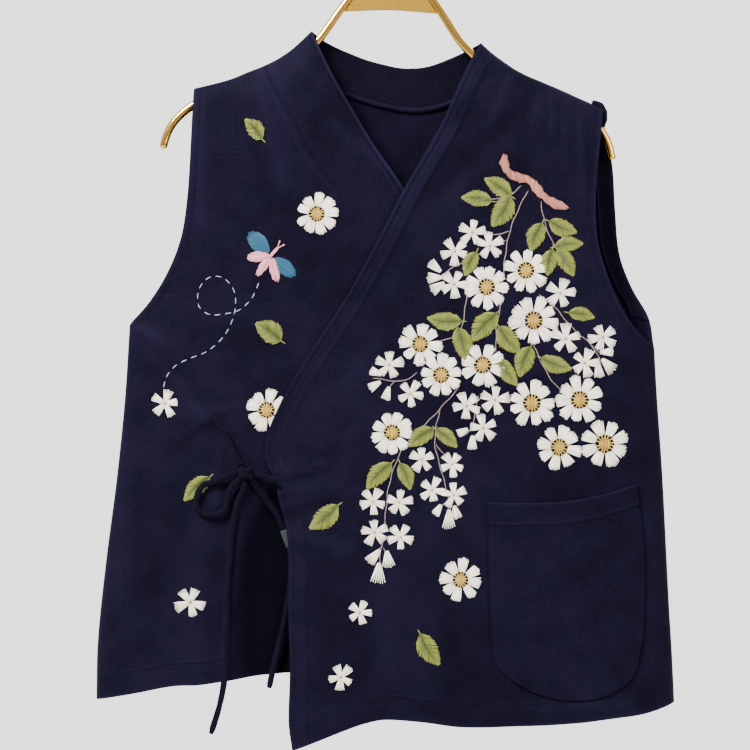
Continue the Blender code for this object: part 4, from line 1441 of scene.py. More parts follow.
@dataclass
class Body:
    """Back, two fronts and the facings that show."""

    neck_facing_share: float = 0.073

    def build(self) -> None:
        """Builds every panel and hangs it on the waistcoat's body."""
        right = Side.sewn(RIGHT_SIDE, RIGHT_ARMHOLE)
        left = Side.sewn(LEFT_SIDE, LEFT_ARMHOLE)
        under = ClothPanel(
            "under_front", "front_right", right, Side.free(UNDER_EDGE),
            lambda x: along(UNDER_HEM, x), ridge_height, under_y, under_wear_and_painted_light, breaks=(right.bend(),),
        )
        outer = ClothPanel(
            "outer_front", "front_left", Side.free(OUTER_EDGE), left,
            lambda x: along(OUTER_HEM, x), ridge_height, outer_y, outer_wear_and_painted_light, breaks=(left.bend(),),
        )
        for panel in (under, outer):
            panel.build()
            panel.hang("navy_cloth", ["hanger_rod"])
        self.build_back()

    @staticmethod
    def back_top(x: Array) -> Array:
        """The back's top edge: shoulders, and the neckline between the tips.

        Args:
            x: places across.

        Returns:
            The edge's heights.
        """
        x = np.asarray(x, float)
        inside = (x > BACK_NECK[0][0]) & (x < BACK_NECK[-1][0])
        return np.where(inside, along(BACK_NECK, x), ridge_height(x))

    def build_back(self) -> None:
        """Builds the back, its neck facing and the armhole facing."""
        right = Side.sewn(RIGHT_SIDE, RIGHT_ARMHOLE_BACK)
        left = Side.sewn(LEFT_SIDE, LEFT_ARMHOLE_BACK)
        back = ClothPanel(
            "back_panel", "back", right, left,
            lambda x: along(BACK_HEM, x), self.back_top, back_y, back_wear_and_painted_light,
            breaks=(left.bend(), right.bend(), 1.0 - self.neck_facing_share),
            faces_front=False, top_round=BACK_TOP_ROUND,
        )
        back.columns = lambda: self.back_columns(back)
        back.build()
        back.hang("navy_cloth", ["hanger_rod"])
        inner = back.inner(CLOTH + LAYER_GAP)
        self.neck_facing(back, inner)
        self.armhole_facing(inner)

    @staticmethod
    def back_columns(back: ClothPanel) -> Array:
        """The plain columns, with the neck's two tips among them.

        Args:
            back: the back.

        Returns:
            Shares of its width.
        """
        plain = ClothPanel.columns(back)
        start, end = float(back.left.read(back.left.high)), float(back.right.read(back.right.high))
        for tip in (BACK_NECK[0][0], BACK_NECK[-1][0]):
            share = (tip - start) / (end - start)
            plain[np.argmin(np.abs(plain - share))] = share
        return plain

    def neck_facing(self, back: ClothPanel, inner: Array) -> None:
        """Builds the facing inside the back's neck, with a rolled lower edge.

        Args:
            back: the back.
            inner: the back's grid, moved to its inside.
        """
        top = inner[-1, :, 0]
        first = int(np.searchsorted(top, BACK_NECK[0][0] + 7.0))
        last = int(np.searchsorted(top, BACK_NECK[-1][0] - 6.0))
        row = int(np.argmin(np.abs(back.rows() - 1.0 + self.neck_facing_share)))
        ups = np.concatenate([NECK_ROWS, np.linspace(11.5, NECK_HEIGHT, 14)])
        grid = []
        for column in inner[row:-1, first:last].transpose(1, 0, 2):
            rise = column[:, 2] - column[0, 2]
            grid.append(resampled(column, rise, np.minimum(ups / NECK_HEIGHT, 1.0) * rise[-1]))
        part = np.array(grid).transpose(1, 0, 2)
        down = part[:, :, 2] - part[:1, :, 2]
        part[:, :, 1] -= 1.9 * groove(down - 1.9, 2.2) - 0.3 * groove(down - 5.4, 1.2)
        # Painted light on the facing: a painted highlight on the rolled edge, painted shade in the dark line
        # at its lower edge and in its dip.
        wear_and_light_values = 0.35 * groove(down - 2.6, 1.5) + 0.12 * groove(down - 7.6, 1.4)
        wear_and_light_values = wear_and_light_values - 0.4 * groove(down - 5.4, 1.2) - 0.5 * groove(down, 0.9)
        made = ClothPanel.from_grid(
            "back_neck_facing", part, Finish.NAVY_INSIDE, FACING, True, lambda x, z: wear_and_light_values
        )
        self.declare(made, part, "neck_facing")

    def armhole_facing(self, inner: Array) -> None:
        """Builds the facing inside the back's armhole at the wearer's left.

        Args:
            inner: the back's grid, moved to its inside.
        """
        rows = inner[:, -1, 2]
        low = int(np.searchsorted(rows, LEFT_SIDE[-1][0] + 20.0))
        high = int(np.searchsorted(rows, LEFT_ARMHOLE[-1][0] - 6.0))
        wanted, off, facing_painted_light = np.array(ARMHOLE_COLUMNS).T
        grid = []
        for line in inner[low:high]:
            run = line[-1, 0] - line[:, 0]
            order = np.argsort(run)
            grid.append(resampled(line[order], run[order], wanted))
        part = np.array(grid)
        part[:, :, 1] -= off
        made = ClothPanel.from_grid(
            "back_armhole_facing", part, Finish.NAVY_INSIDE, FACING, True,
            lambda x, z: np.broadcast_to(facing_painted_light, x.shape),
        )
        self.declare(made, part, "armhole_facing", [self.shoulder_roll()])

    @staticmethod
    def shoulder_roll() -> Object:
        """Builds the facing's end, rolled over the shoulder seam's outer end.

        Returns:
            The object.
        """
        path = evenly(smooth_path(SHOULDER_ROLL, 1.0), 1.0)
        full = np.sin(np.pi * np.linspace(0.08, 0.92, len(path))) ** 0.5
        half = full * SHOULDER_ROLL_RADIUS * (1.0 + 0.06 * np.sin(np.arange(len(path)) * 0.9))
        points, faces = sweep(path, half, half * 0.9, 14, (0.0, -1.0, 0.001))
        made = new_mesh("shoulder_roll", points, faces, Finish.NAVY_INSIDE)
        set_uv(made, points[:, [0, 2]] + points[:, [1, 1]] * 0.7)
        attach(made, BODY)
        return made

    @staticmethod
    def declare(made: Object, grid: Array, node: str, ends: Sequence[Object] = ()) -> None:
        """Hangs a facing, a narrow sheet on the back, on the waistcoat's body and hides the solid that it
        replaces.

        Args:
            made: the facing.
            grid: its points; not used.
            node: the solid it replaces.
            ends: pieces that belong to it; not used.
        """
        fit(made, node)


@dataclass
class PatchPocket:
    """The patch pocket with a round bottom."""

    columns: int = 52
    rows: int = 62
    grid: Array = field(default_factory=lambda: np.zeros((0, 0, 3)))

    def build(self) -> None:
        """Builds the pocket on the outer front's face."""
        u = 0.5 - 0.5 * np.cos(np.pi * np.linspace(0.0, 1.0, self.columns))[None, :]
        hem = np.array([0.865, 0.872, 0.878, 0.884, 0.890, 0.896, 0.903])
        plain = np.linspace(0.03, 0.98, self.rows)
        plain = plain[(plain < 0.86) | (plain > 0.908)]
        v = np.concatenate([[0.0, 0.004, 0.01, 0.017, 0.024], plain, hem, [0.988, 0.994, 1.0]])
        v = np.unique(v)[:, None]
        x0, x1 = Side.free(POCKET_LEFT).up(v), Side.free(POCKET_RIGHT).up(v)
        x = x0 + (x1 - x0) * u
        low = along(POCKET_BOTTOM, POCKET_LEFT[0][1] + (POCKET_RIGHT[0][1] - POCKET_LEFT[0][1]) * u)
        high = along(POCKET_TOP, POCKET_LEFT[-1][1] + (POCKET_RIGHT[-1][1] - POCKET_LEFT[-1][1]) * u)
        z = low + (high - low) * v
        self.grid = np.stack([x, pocket_y(x, z), z], axis=-1)
        made = ClothPanel.from_grid("patch_pocket", self.grid, Finish.NAVY, FACING, False, pocket_wear_and_painted_light)
        fit(made, "pocket")
        log.info("patch pocket built")

    def stitch_lines(self) -> list[Array]:
        """The stitching round the pocket's sides and bottom, and under its top hem.

        Returns:
            The lines' points.
        """
        grid, inset = self.grid, 3
        sides = grid[::-1, inset][2:-2], grid[:, -1 - inset][2:-2]
        outline = np.vstack([sides[0], grid[3, inset:-inset], sides[1]])
        hem = []
        for x in np.linspace(101.0, 241.0, 60):
            z = float(along(POCKET_TOP, x)) - POCKET_HEM
            if along(POCKET_LEFT, z) + 1.5 < x < along(POCKET_RIGHT, z) - 1.5:
                hem.append((x, float(pocket_y(x, z)), z))
        lines = [outline, np.array(hem)]
        return [line - np.array([0.0, 0.1, 0.0]) for line in lines]


# ---- Sewing


@dataclass
class Topstitching:
    """The sewing thread's running stitches along edges, hems and the pocket."""

    pitch: float = 3.3
    stitch: float = 2.5
    thread: float = 0.27

    @staticmethod
    def edge_line(rows: Rows, inset: float, surface: Surface, z: Array, out: float) -> Array:
        """The points of a line at heights z, inset to the right of an edge and moved out along y."""
        x = along(rows, z) + inset * edge_slope(rows, z)
        return np.stack([x, surface(x, z) + out, z], axis=1)

    @staticmethod
    def hem_line(rows: Rows, surface: Surface, low: float, high: float, out: float) -> Array:
        """A line above a hem, on the cloth's face.

        Args:
            rows: the hem.
            surface: the face's y.
            low: the line's least x.
            high: its greatest x.
            out: how far the line is moved along y.

        Returns:
            The line's points.
        """
        x = np.linspace(low, high, int((high - low) / 3.0))
        z = along(rows, x) + HEM_DEPTH
        return np.stack([x, surface(x, z) + out, z], axis=1)

    def armhole_line(self, rows: Rows, hand: float, surface: Surface, out: float) -> Array:
        """The points of a line beside an armhole, which lies to its left where hand is 1."""
        z = np.linspace(rows[0][0] + 9.0, rows[-1][0] - 4.0, 70)
        return self.edge_line(rows, hand * ARMHOLE_STITCH, surface, z, out)

    def build(self, tree: StitchTree, pocket: PatchPocket) -> None:
        """Sews every line.

        Args:
            tree: the stitches' node tree.
            pocket: the pocket, for its own lines.
        """
        outer_z, under_z = np.linspace(-780.0, -134.0, 215), np.linspace(-300.0, -126.0, 58)
        lines = [
            self.edge_line(OUTER_EDGE, EDGE_STITCH, outer_y, outer_z, -0.12),
            self.edge_line(UNDER_EDGE, -UNDER_STITCH, under_y, under_z, -0.12),
            self.hem_line(OUTER_HEM, outer_y, -66.0, 262.0, -0.1),
            self.hem_line(UNDER_HEM, under_y, -244.0, 90.0, -0.1),
            self.hem_line(BACK_HEM, back_y, -244.0, 262.0, 0.1),
            self.armhole_line(RIGHT_ARMHOLE, 1.0, under_y, -0.1),
            self.armhole_line(LEFT_ARMHOLE, -1.0, outer_y, -0.1),
            self.armhole_line(RIGHT_ARMHOLE_BACK, 1.0, back_y, 0.1),
            self.armhole_line(LEFT_ARMHOLE_BACK, -1.0, back_y, 0.1),
            *pocket.stitch_lines(),
        ]
        base = line_object("topstitching", [evenly(line, 2.0) for line in lines])
        sizes = {"Pitch": self.pitch, "Stitch Length": self.stitch, "Thread Radius": self.thread}
        values = {label: size * MM for label, size in sizes.items()}
        made = tree.grow(base, {**values, "Finish": Finish.SEWING.material()})
        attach(made, BODY)
        log.info("topstitching: %d lines, %d faces", len(lines), len(made.data.polygons))


# ---- Embroidery

# The insect's wings: angle in degrees from up towards +X, start, length, outer half width, strands, finish
INSECT_WINGS = (
    (-47, 3.5, 29, 7.6, 17, Finish.BLUE),
    (131, 4.5, 29, 6.6, 15, Finish.BLUE),
    (-97, 2.5, 23, 4.6, 10, Finish.PINK),
    (-146, 3.0, 23, 3.4, 8, Finish.PINK),
    (167, 3.0, 25, 4.2, 9, Finish.PINK),
)


@dataclass
class Basket:
    """The stitches of one finish on one cloth, gathered before they are laid and grown."""

    surface: Surface
    flat: list[Array] = field(default_factory=list)
    lift: list[Array] = field(default_factory=list)
    thick: list[Array] = field(default_factory=list)
    shade: list[Array] = field(default_factory=list)

    def lay(self) -> list[Array]:
        """Every stitch's points x, y, z on the cloth.

        Returns:
            Each stitch's points.
        """
        flat, lift = np.vstack(self.flat), np.concatenate(self.lift)
        points = np.stack([flat[:, 0], self.surface(flat[:, 0], flat[:, 1]) - lift, flat[:, 1]], axis=1)
        return np.split(points, np.cumsum([len(part) for part in self.flat])[:-1])


@dataclass
class Fan:
    """Straight stitches that spread from a foot: a petal, bud or wing."""

    foot: Point2
    angle: float
    start: float
    length: float
    inner_half: float
    outer_half: float
    strands: int
    roundness: float = 0.05
    thread: float = 0.6
    oval: bool = False


@dataclass
class Embroidery:
    """All motifs, laid in threads on the two fronts."""

    pad: float = 0.55
    spokes: int = 14
    blunt_petals: int = 5
    baskets: dict[Finish, dict[Surface, Basket]] = field(default_factory=dict)
    rng: np.random.Generator = field(default_factory=lambda: np.random.default_rng(7))

    def vary(self, spread: float) -> float:
        """A number up to spread either way of 0."""
        return float(self.rng.uniform(-spread, spread))

    def thread(
        self, finish: Finish, ground: Surface, ends: Sequence, thick: float, lift: float, shade: Point2,
        points: int = 4,
    ) -> None:
        """Lays one stitch.

        Args:
            finish: its thread.
            ground: the face of the cloth under it.
            ends: its two ends, or more points of a bent one, as x, z.
            thick: its radius.
            lift: how far its middle stands off the cloth.
            shade: its shade at the start and at the end.
            points: how many points it has.
        """
        ends = np.asarray(ends, float)
        straight = ends[0] + (ends[1] - ends[0]) * np.linspace(0.0, 1.0, points)[:, None]
        flat = ends if len(ends) > 2 else straight
        share = np.linspace(0.0, 1.0, len(flat))
        arch = np.sin(np.pi * np.clip(share, 0.06, 0.94)) ** 0.45
        basket = self.baskets.setdefault(finish, {}).setdefault(ground, Basket(ground))
        basket.flat.append(flat)
        basket.lift.append(thick * 0.25 + lift * arch)
        basket.thick.append(np.full(len(flat), thick * MM))
        basket.shade.append(np.clip(shade[0] + (shade[1] - shade[0]) * share, 0.0, 1.0))

    def fan(self, finish: Finish, ground: Surface, fan: Fan, shade: Point2) -> None:
        """Fills a fan with stitches.

        Args:
            finish: its thread.
            ground: the cloth under it.
            fan: its shape.
            shade: its shade at the foot and at the outer end.
        """
        axis = pointing(fan.angle)
        side = turned(axis)
        for s in np.linspace(-1.0, 1.0, fan.strands):
            start = fan.start * (1.0 + self.vary(0.05))
            reach = fan.length * (1.0 - fan.roundness * s * s + self.vary(0.035))
            share = np.array([0.0, 1.0])
            wide = share
            if fan.oval:
                reach *= 0.6 + 0.4 * math.sqrt(1.0 - (0.98 * s) ** 2)
                share = np.linspace(0.0, 1.0, 5)
                wide = np.sin(np.pi / 2 * np.minimum(share * reach / (0.6 * fan.length), 1.0))
            along_axis = (start + (reach - start) * share)[:, None] * axis
            off_axis = (fan.inner_half + (fan.outer_half - fan.inner_half) * wide)[:, None] * side * s
            route = np.array(fan.foot) + along_axis + off_axis
            tone = self.vary(0.3)
            lift = self.pad * (1.0 - 0.6 * s * s) + self.vary(0.14)
            self.thread(finish, ground, route, fan.thread, lift, (shade[0] + tone, shade[1] + tone))

    def daisy(self, ground: Surface, x: float, z: float, radius: float, petals: int, turn: float) -> None:
        """Works a daisy: wedge petals round a centre of yellow spokes.

        Args:
            ground: the cloth under it.
            x: its centre across.
            z: its centre's height.
            radius: its radius.
            petals: how many petals it has.
            turn: how far it is turned, in degrees.
        """
        spin = math.radians(turn)
        for petal in range(petals):
            angle = spin + 2 * math.pi * (petal + self.vary(0.09)) / petals
            reach = radius * (1.0 + self.vary(0.075))
            half = reach * math.tan(math.pi / petals) * (0.61 + self.vary(0.09))
            fan = Fan((x, z), angle, radius * 0.38, reach, radius * 0.13, half, 10, 0.08)
            self.fan(Finish.CREAM, ground, fan, (0.4, 0.8))
        core = radius * 0.25
        for s in np.linspace(-1.0, 1.0, 8):
            rise = core * 1.12 * math.sqrt(max(1.0 - (0.92 * s) ** 2, 0.05))
            tone = 0.5 + self.vary(0.35)
            across = x + s * core * 0.85
            ends = ((across, z - rise), (across, z + rise))
            self.thread(Finish.YELLOW, ground, ends, 0.6, 0.75, (tone, tone + 0.15))
        for spoke in range(self.spokes):
            angle = 2 * math.pi * (spoke + self.vary(0.17)) / self.spokes
            way = pointing(angle) * (radius, 1.08 * radius)
            ends = ((x, z) + way * 0.2, (x, z) + way * (0.42 + self.vary(0.03)))
            self.thread(Finish.YELLOW, ground, ends, 0.5, 0.55, (0.35, 0.85))

    def blossom(self, ground: Surface, x: float, z: float, radius: float, turn: float) -> None:
        """Works a small blossom of five blunt petals.

        Args:
            ground: the cloth under it.
            x: its centre across.
            z: its centre's height.
            radius: its radius.
            turn: how far it is turned, in degrees.
        """
        spin = math.radians(turn)
        for petal in range(self.blunt_petals):
            angle = spin + 2 * math.pi * (petal + self.vary(0.09)) / self.blunt_petals
            reach = radius * (1.0 + self.vary(0.1))
            half = reach * (0.305 + self.vary(0.045))
            fan = Fan((x, z), angle, radius * 0.08, reach, radius * 0.09, half, 7, thread=0.56)
            self.fan(Finish.CREAM, ground, fan, (0.3, 0.8))
        for angle in self.rng.uniform(0, 2 * math.pi, 3):
            way = pointing(angle) * radius * 0.15
            self.thread(Finish.PINK, ground, ((x, z) - way, (x, z) + way), 0.34, 1.05, (0.1, 0.5))

    def bud(self, ground: Surface, x0: float, z0: float, x1: float, z1: float) -> None:
        """Works a single wedge bud from its foot to its tip.

        Args:
            ground: the cloth under it.
            x0: its foot's x.
            z0: its foot's z.
            x1: its tip's x.
            z1: its tip's z.
        """
        angle, length = math.atan2(x1 - x0, z1 - z0), math.hypot(x1 - x0, z1 - z0)
        half = length * (0.27 + self.vary(0.03))
        fan = Fan((x0, z0), angle, length * 0.2, length, 1.1, half, 7, 0.06)
        self.fan(Finish.CREAM, ground, fan, (0.45, 0.85))

    def leaf(self, ground: Surface, x0: float, z0: float, x1: float, z1: float, full: float = 1.0) -> None:
        """Works an oval leaf in slanting stitches from its midrib, with ragged sides.

        Args:
            ground: the cloth under it.
            x0: its foot's x.
            z0: its foot's z.
            x1: its tip's x.
            z1: its tip's z.
            full: its fullness, 1 for a usual leaf.
        """
        foot, tip = np.array([x0, z0], float), np.array([x1, z1], float)
        length = float(np.linalg.norm(tip - foot))
        axis = (tip - foot) / length
        side = turned(axis)
        sway = side * length * 0.05 * self.rng.choice([-1.0, 1.0])
        wide = (0.28 + self.vary(0.025)) * full
        count = max(14, round(length / 1.0))
        for hand in (-1.0, 1.0):
            for t in np.linspace(0.0, 1.0, count):
                out = min(t + 0.15, 1.0)
                half = wide * length * math.sin(math.pi * (0.93 * out + 0.035) ** 0.9) ** 0.8
                half *= 1.0 + self.vary(0.1)
                rib = foot + (tip - foot) * t * 0.93 + sway * math.sin(math.pi * t)
                last = foot + (tip - foot) * out + sway * math.sin(math.pi * out)
                last = last + side * hand * half * (1.0 - 0.55 * t**6)
                tone = self.vary(0.22)
                self.thread(Finish.GREEN, ground, (rib, last), 0.58, 0.5, (tone - 0.1, tone + 0.9))
        self.thread(Finish.GREEN, ground, (foot + axis, foot - axis * 4.5), 0.48, 0.2, (0.8, 0.95))

    def stem(self, ground: Surface, route: Rows) -> None:
        """Works a stem in short overlapping stitches.

        Args:
            ground: the cloth under it.
            route: places along it, from its top to its foot.
        """
        path = evenly(smooth_path(route, 2.0), 1.0)
        normal = turned(headings(path))
        path = path + normal * (0.4 * np.sin(np.arange(len(path)) / 3.1 + self.rng.uniform(0, 6)))[:, None]
        for first in range(0, max(len(path) - 2, 1), 4):
            part = path[first : first + 7]
            if len(part) < 3:
                break
            part = part + np.linspace(-0.3, 0.3, len(part))[:, None] * normal[first : first + len(part)]
            tone = 0.45 + self.vary(0.35)
            ends = part[::2] if len(part) > 4 else part
            self.thread(Finish.STEM, ground, ends, 0.43, 0.3, (tone, tone + 0.2))

    def twig(self, ground: Surface) -> None:
        """Works the thick knobbly twig in slanting stitches over padding.

        Args:
            ground: the cloth under it.
        """
        path = evenly(smooth_path(TWIG, 1.0), 0.85)
        heading = headings(path)
        normal = turned(heading)
        for index, share in enumerate(np.linspace(0.0, 1.0, len(path))):
            half = 3.7 * (0.5 + 0.5 * math.sqrt(max(1.0 - (2 * share - 1) ** 30, 0.0)))
            half *= 1.0 + 0.2 * math.sin(share * 23.0 + 0.6) + 0.08 * math.sin(share * 61.0) + self.vary(0.08)
            reach = normal[index] * half + heading[index] * 2.3
            tone = 0.45 + self.vary(0.4)
            ends = (path[index] - reach, path[index] + reach)
            self.thread(Finish.SALMON, ground, ends, 0.6, 1.6, (tone - 0.15, tone + 0.2), 6)

    def insect(self, ground: Surface) -> None:
        """Works a small winged insect: two outer and three inner wings, a body and two feelers.

        Args:
            ground: the cloth under it.
        """
        for angle, start, length, half, strands, finish in INSECT_WINGS:
            fan = Fan(INSECT_PLACE, math.radians(angle), start, length, 1.4, half, strands, 0.0, 0.58, True)
            self.fan(finish, ground, fan, (0.3, 0.75))
        body = math.radians(40)
        way = pointing(body)
        side = turned(way)
        centre = np.array(INSECT_PLACE, float)
        for offset in (-0.9, 0.0, 0.9):
            ends = (centre - way * 3 + side * offset, centre + way * 9 + side * offset)
            self.thread(Finish.PINK, ground, ends, 0.55, 1.2, (0.6, 0.9))
        foot = centre + way * 8.5
        for turn in (-24, 22):
            tip = pointing(body + math.radians(turn))
            self.thread(Finish.PINK, ground, (foot, foot + tip * 6.0), 0.42, 0.4, (0.5, 0.9))
            self.thread(Finish.PINK, ground, (foot + tip * 5.2, foot + tip * 7.4), 0.8, 0.3, (0.6, 0.9))

    def trail(self, ground: Surface) -> None:
        """Works the insect's way in running stitches.

        Args:
            ground: the cloth under it.
        """
        path = evenly(smooth_path(TRAIL, 1.5), 0.9)
        for first in range(0, len(path) - 7, 11):
            tone = 0.5 + self.vary(0.25)
            self.thread(Finish.LAVENDER, ground, path[first : first + 7 : 2], 0.5, 0.3, (tone, tone))

    def build(self, tree: ThreadTree) -> None:
        """Works every motif and grows the threads, one piece for each finish.

        Args:
            tree: the threads' node tree.
        """
        for row in STEMS:
            self.stem(outer_y, row)
        self.twig(outer_y)
        for row in BUDS:
            self.bud(outer_y, *row)
        motifs = ((self.leaf, LEAVES), (self.blossom, BLOSSOMS), (self.daisy, DAISIES))
        for work, places in motifs:
            for ground, rows in zip((outer_y, under_y), places):
                for row in rows:
                    work(ground, *row)
        self.trail(under_y)
        self.insect(under_y)
        for finish, grounds in self.baskets.items():
            baskets = list(grounds.values())
            paths = [path for basket in baskets for path in basket.lay()]
            values = {
                "thick": np.concatenate([part for basket in baskets for part in basket.thick]),
                "shade": np.concatenate([part for basket in baskets for part in basket.shade]),
            }
            base = line_object("embroidery_" + finish.name.lower(), paths, values)
            made = tree.grow(base, {"Sides": 5, "End Thickness": 0.5, "Finish": finish.material()})
            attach(made, BODY)
            log.info("%s: %d threads, %d faces", made.name, len(paths), len(made.data.polygons))


# ---- Ties


def sweep(path: Array, wide: Array, high: Array, sides: int, up: Sequence[float]) -> tuple[Array, list]:
    """Rings along a path, closed with rounded ends.

    Args:
        path: the middle line.
        wide: each ring's half width, at right angles to up.
        high: each ring's half height, towards up.
        sides: points in a ring.
        up: the direction that stays the rings' height.

    Returns:
        Points and faces.
    """
    heading = headings(path)
    across = np.cross(heading, np.asarray(up, float))
    across /= np.linalg.norm(across, axis=1, keepdims=True)
    upright = np.cross(across, heading)
    angles = np.linspace(0.0, 2 * np.pi, sides, endpoint=False)
    rings = (
        path[:, None, :]
        + across[:, None, :] * (np.cos(angles)[None, :] * wide[:, None])[:, :, None]
        + upright[:, None, :] * (np.sin(angles)[None, :] * high[:, None])[:, :, None]
    )
    points = rings.reshape(-1, 3)
    faces = grid_faces(len(path), sides, True, True)
    first, last = len(points), len(points) + 1
    points = np.vstack([points, path[0], path[-1]])
    base = (len(path) - 1) * sides
    for side in range(sides):
        after = (side + 1) % sides
        faces.append((first, side, after))
        faces.append((last, base + after, base + side))
    return points, faces


def dome(run: Array, least: float) -> Array:
    """How full a round end is, by the distance from its tip in shares of its radius."""
    return np.sqrt(np.clip(1.0 - (1.0 - np.clip(run, 0.0, 1.0)) ** 2, least, 1.0))


@dataclass
class Ties:
    """Folded cloth ties, tied in a bow with one loop and two tails."""

    radius: float = 2.6
    sides: int = 14
    step: float = 1.6

    @staticmethod
    def port(angle: float, forward: float = 0.0) -> tuple[float, float, float]:
        """A place just off the knot, at an angle counted from +X towards +Z.

        Args:
            angle: the angle in degrees.
            forward: how far in front.

        Returns:
            The place.
        """
        turn = math.radians(angle)
        x, y, z = KNOT_CENTRE
        return x + KNOT_PORT * math.cos(turn), y - forward, z + KNOT_PORT * math.sin(turn)

    def tube(self, name: str, route: Sequence, taper: Point2) -> tuple[Object, Array]:
        """A soft tube of folded cloth along a route.

        Args:
            name: the piece's name.
            route: its points.
            taper: how full it is at each end, from 0 to 1.

        Returns:
            The object and its middle line.
        """
        path = evenly(smooth_path(route, 2.0), self.step)
        share = np.linspace(0.0, 1.0, len(path))
        run = np.arange(len(path)) * self.step
        uneven = 1.0 + 0.045 * np.sin(run / 5.3 + len(path)) + 0.03 * np.sin(run / 2.1)
        full = taper[0] + (1 - taper[0]) * soft_step(share * len(path) / 3.0)
        full = full * (taper[1] + (1 - taper[1]) * soft_step((1 - share) * len(path) / 3.0))
        wide = self.radius * 1.06 * uneven * full
        high = self.radius * 0.84 * uneven * full
        points, faces = sweep(path, wide, high, self.sides, (0.0, -1.0, 0.001))
        rings = points[: len(path) * self.sides].reshape(len(path), self.sides, 3)
        seam = rings[:, self.sides // 4]
        rings[:, self.sides // 4] = seam + (path - seam) * 0.16
        points[: len(path) * self.sides] = rings.reshape(-1, 3)
        made = new_mesh(name, points, faces, Finish.NAVY_TIE)
        around = np.tile(np.arange(self.sides) * 2 * math.pi * self.radius / self.sides, len(path))
        coordinates = np.stack([around, np.repeat(run, self.sides)], axis=1)
        set_uv(made, np.vstack([coordinates, [[0.0, 0.0], [0.0, run[-1]]]]))
        return made, path

    def knot(self) -> Object:
        """Builds the knot: two wraps and a strand that crosses them in front.

        Returns:
            The object.
        """
        angles = np.linspace(0.0, 2 * math.pi, 37)
        pieces = []
        for shift, tilt, half_x, half_y in KNOT_WRAPS:
            x = half_x * np.cos(angles)
            z = shift + x * math.tan(math.radians(tilt)) * 0.9
            pieces.append(np.array(KNOT_CENTRE) + np.stack([x, half_y * np.sin(angles), z], axis=1))
        cross = np.array(KNOT_CENTRE) + np.array(KNOT_STRAND)
        pieces.append(evenly(smooth_path(cross, 1.0), KNOT_STEP))
        points, faces, coordinates = [], [], []
        for path in pieces:
            half = np.full(len(path), KNOT_RADIUS)
            part, quads = sweep(path, half, half, KNOT_SIDES, (0.12, 0.0, 1.0))
            first = sum(len(p) for p in points)
            points.append(part)
            faces += [tuple(first + index for index in quad) for quad in quads]
            around = np.tile(np.arange(KNOT_SIDES) * 1.2, len(path))
            run = np.repeat(np.arange(len(path)) * KNOT_STEP, KNOT_SIDES)
            coordinates.append(np.vstack([np.stack([around, run], axis=1), [[0, 0], [0, 9]]]))
        made = new_mesh("bow_knot", np.vstack(points), faces, Finish.NAVY_TIE)
        set_uv(made, np.vstack(coordinates))
        fit(made, "knot")
        return made

    def build(self) -> None:
        knot = self.knot()
        short = self.tube("tie_outer_front", [self.port(TIE_B_PORT), *TIE_B], (0.9, 0.75))[0]
        fit(short, "tie_b")
        # piece name, node, route, fullness at the ends, far end
        rows = (
            ("tie_under_front", "tie_a", [*TIE_A, self.port(TIE_A_PORT)], (0.75, 0.9), "knot"),
            (
                "bow_loop_tie", "bow_loop",
                [self.port(LOOP_PORTS[0]), *LOOP, self.port(LOOP_PORTS[1], LOOP_FORWARD)], (0.9, 0.9), "knot",
            ),
            ("long_tail", "tail_1", [self.port(TAIL_1_PORT), *TAIL_1], (0.9, 0.8), "bare"),
            ("short_tail", "tail_2", [self.port(TAIL_2_PORT), *TAIL_2], (0.9, 0.8), "bare"),
        )
        for name, node, route, taper, far_end in rows:
            made, path = self.tube(name, route, taper)
            fit(made, node)


# ---- Hanger and tape


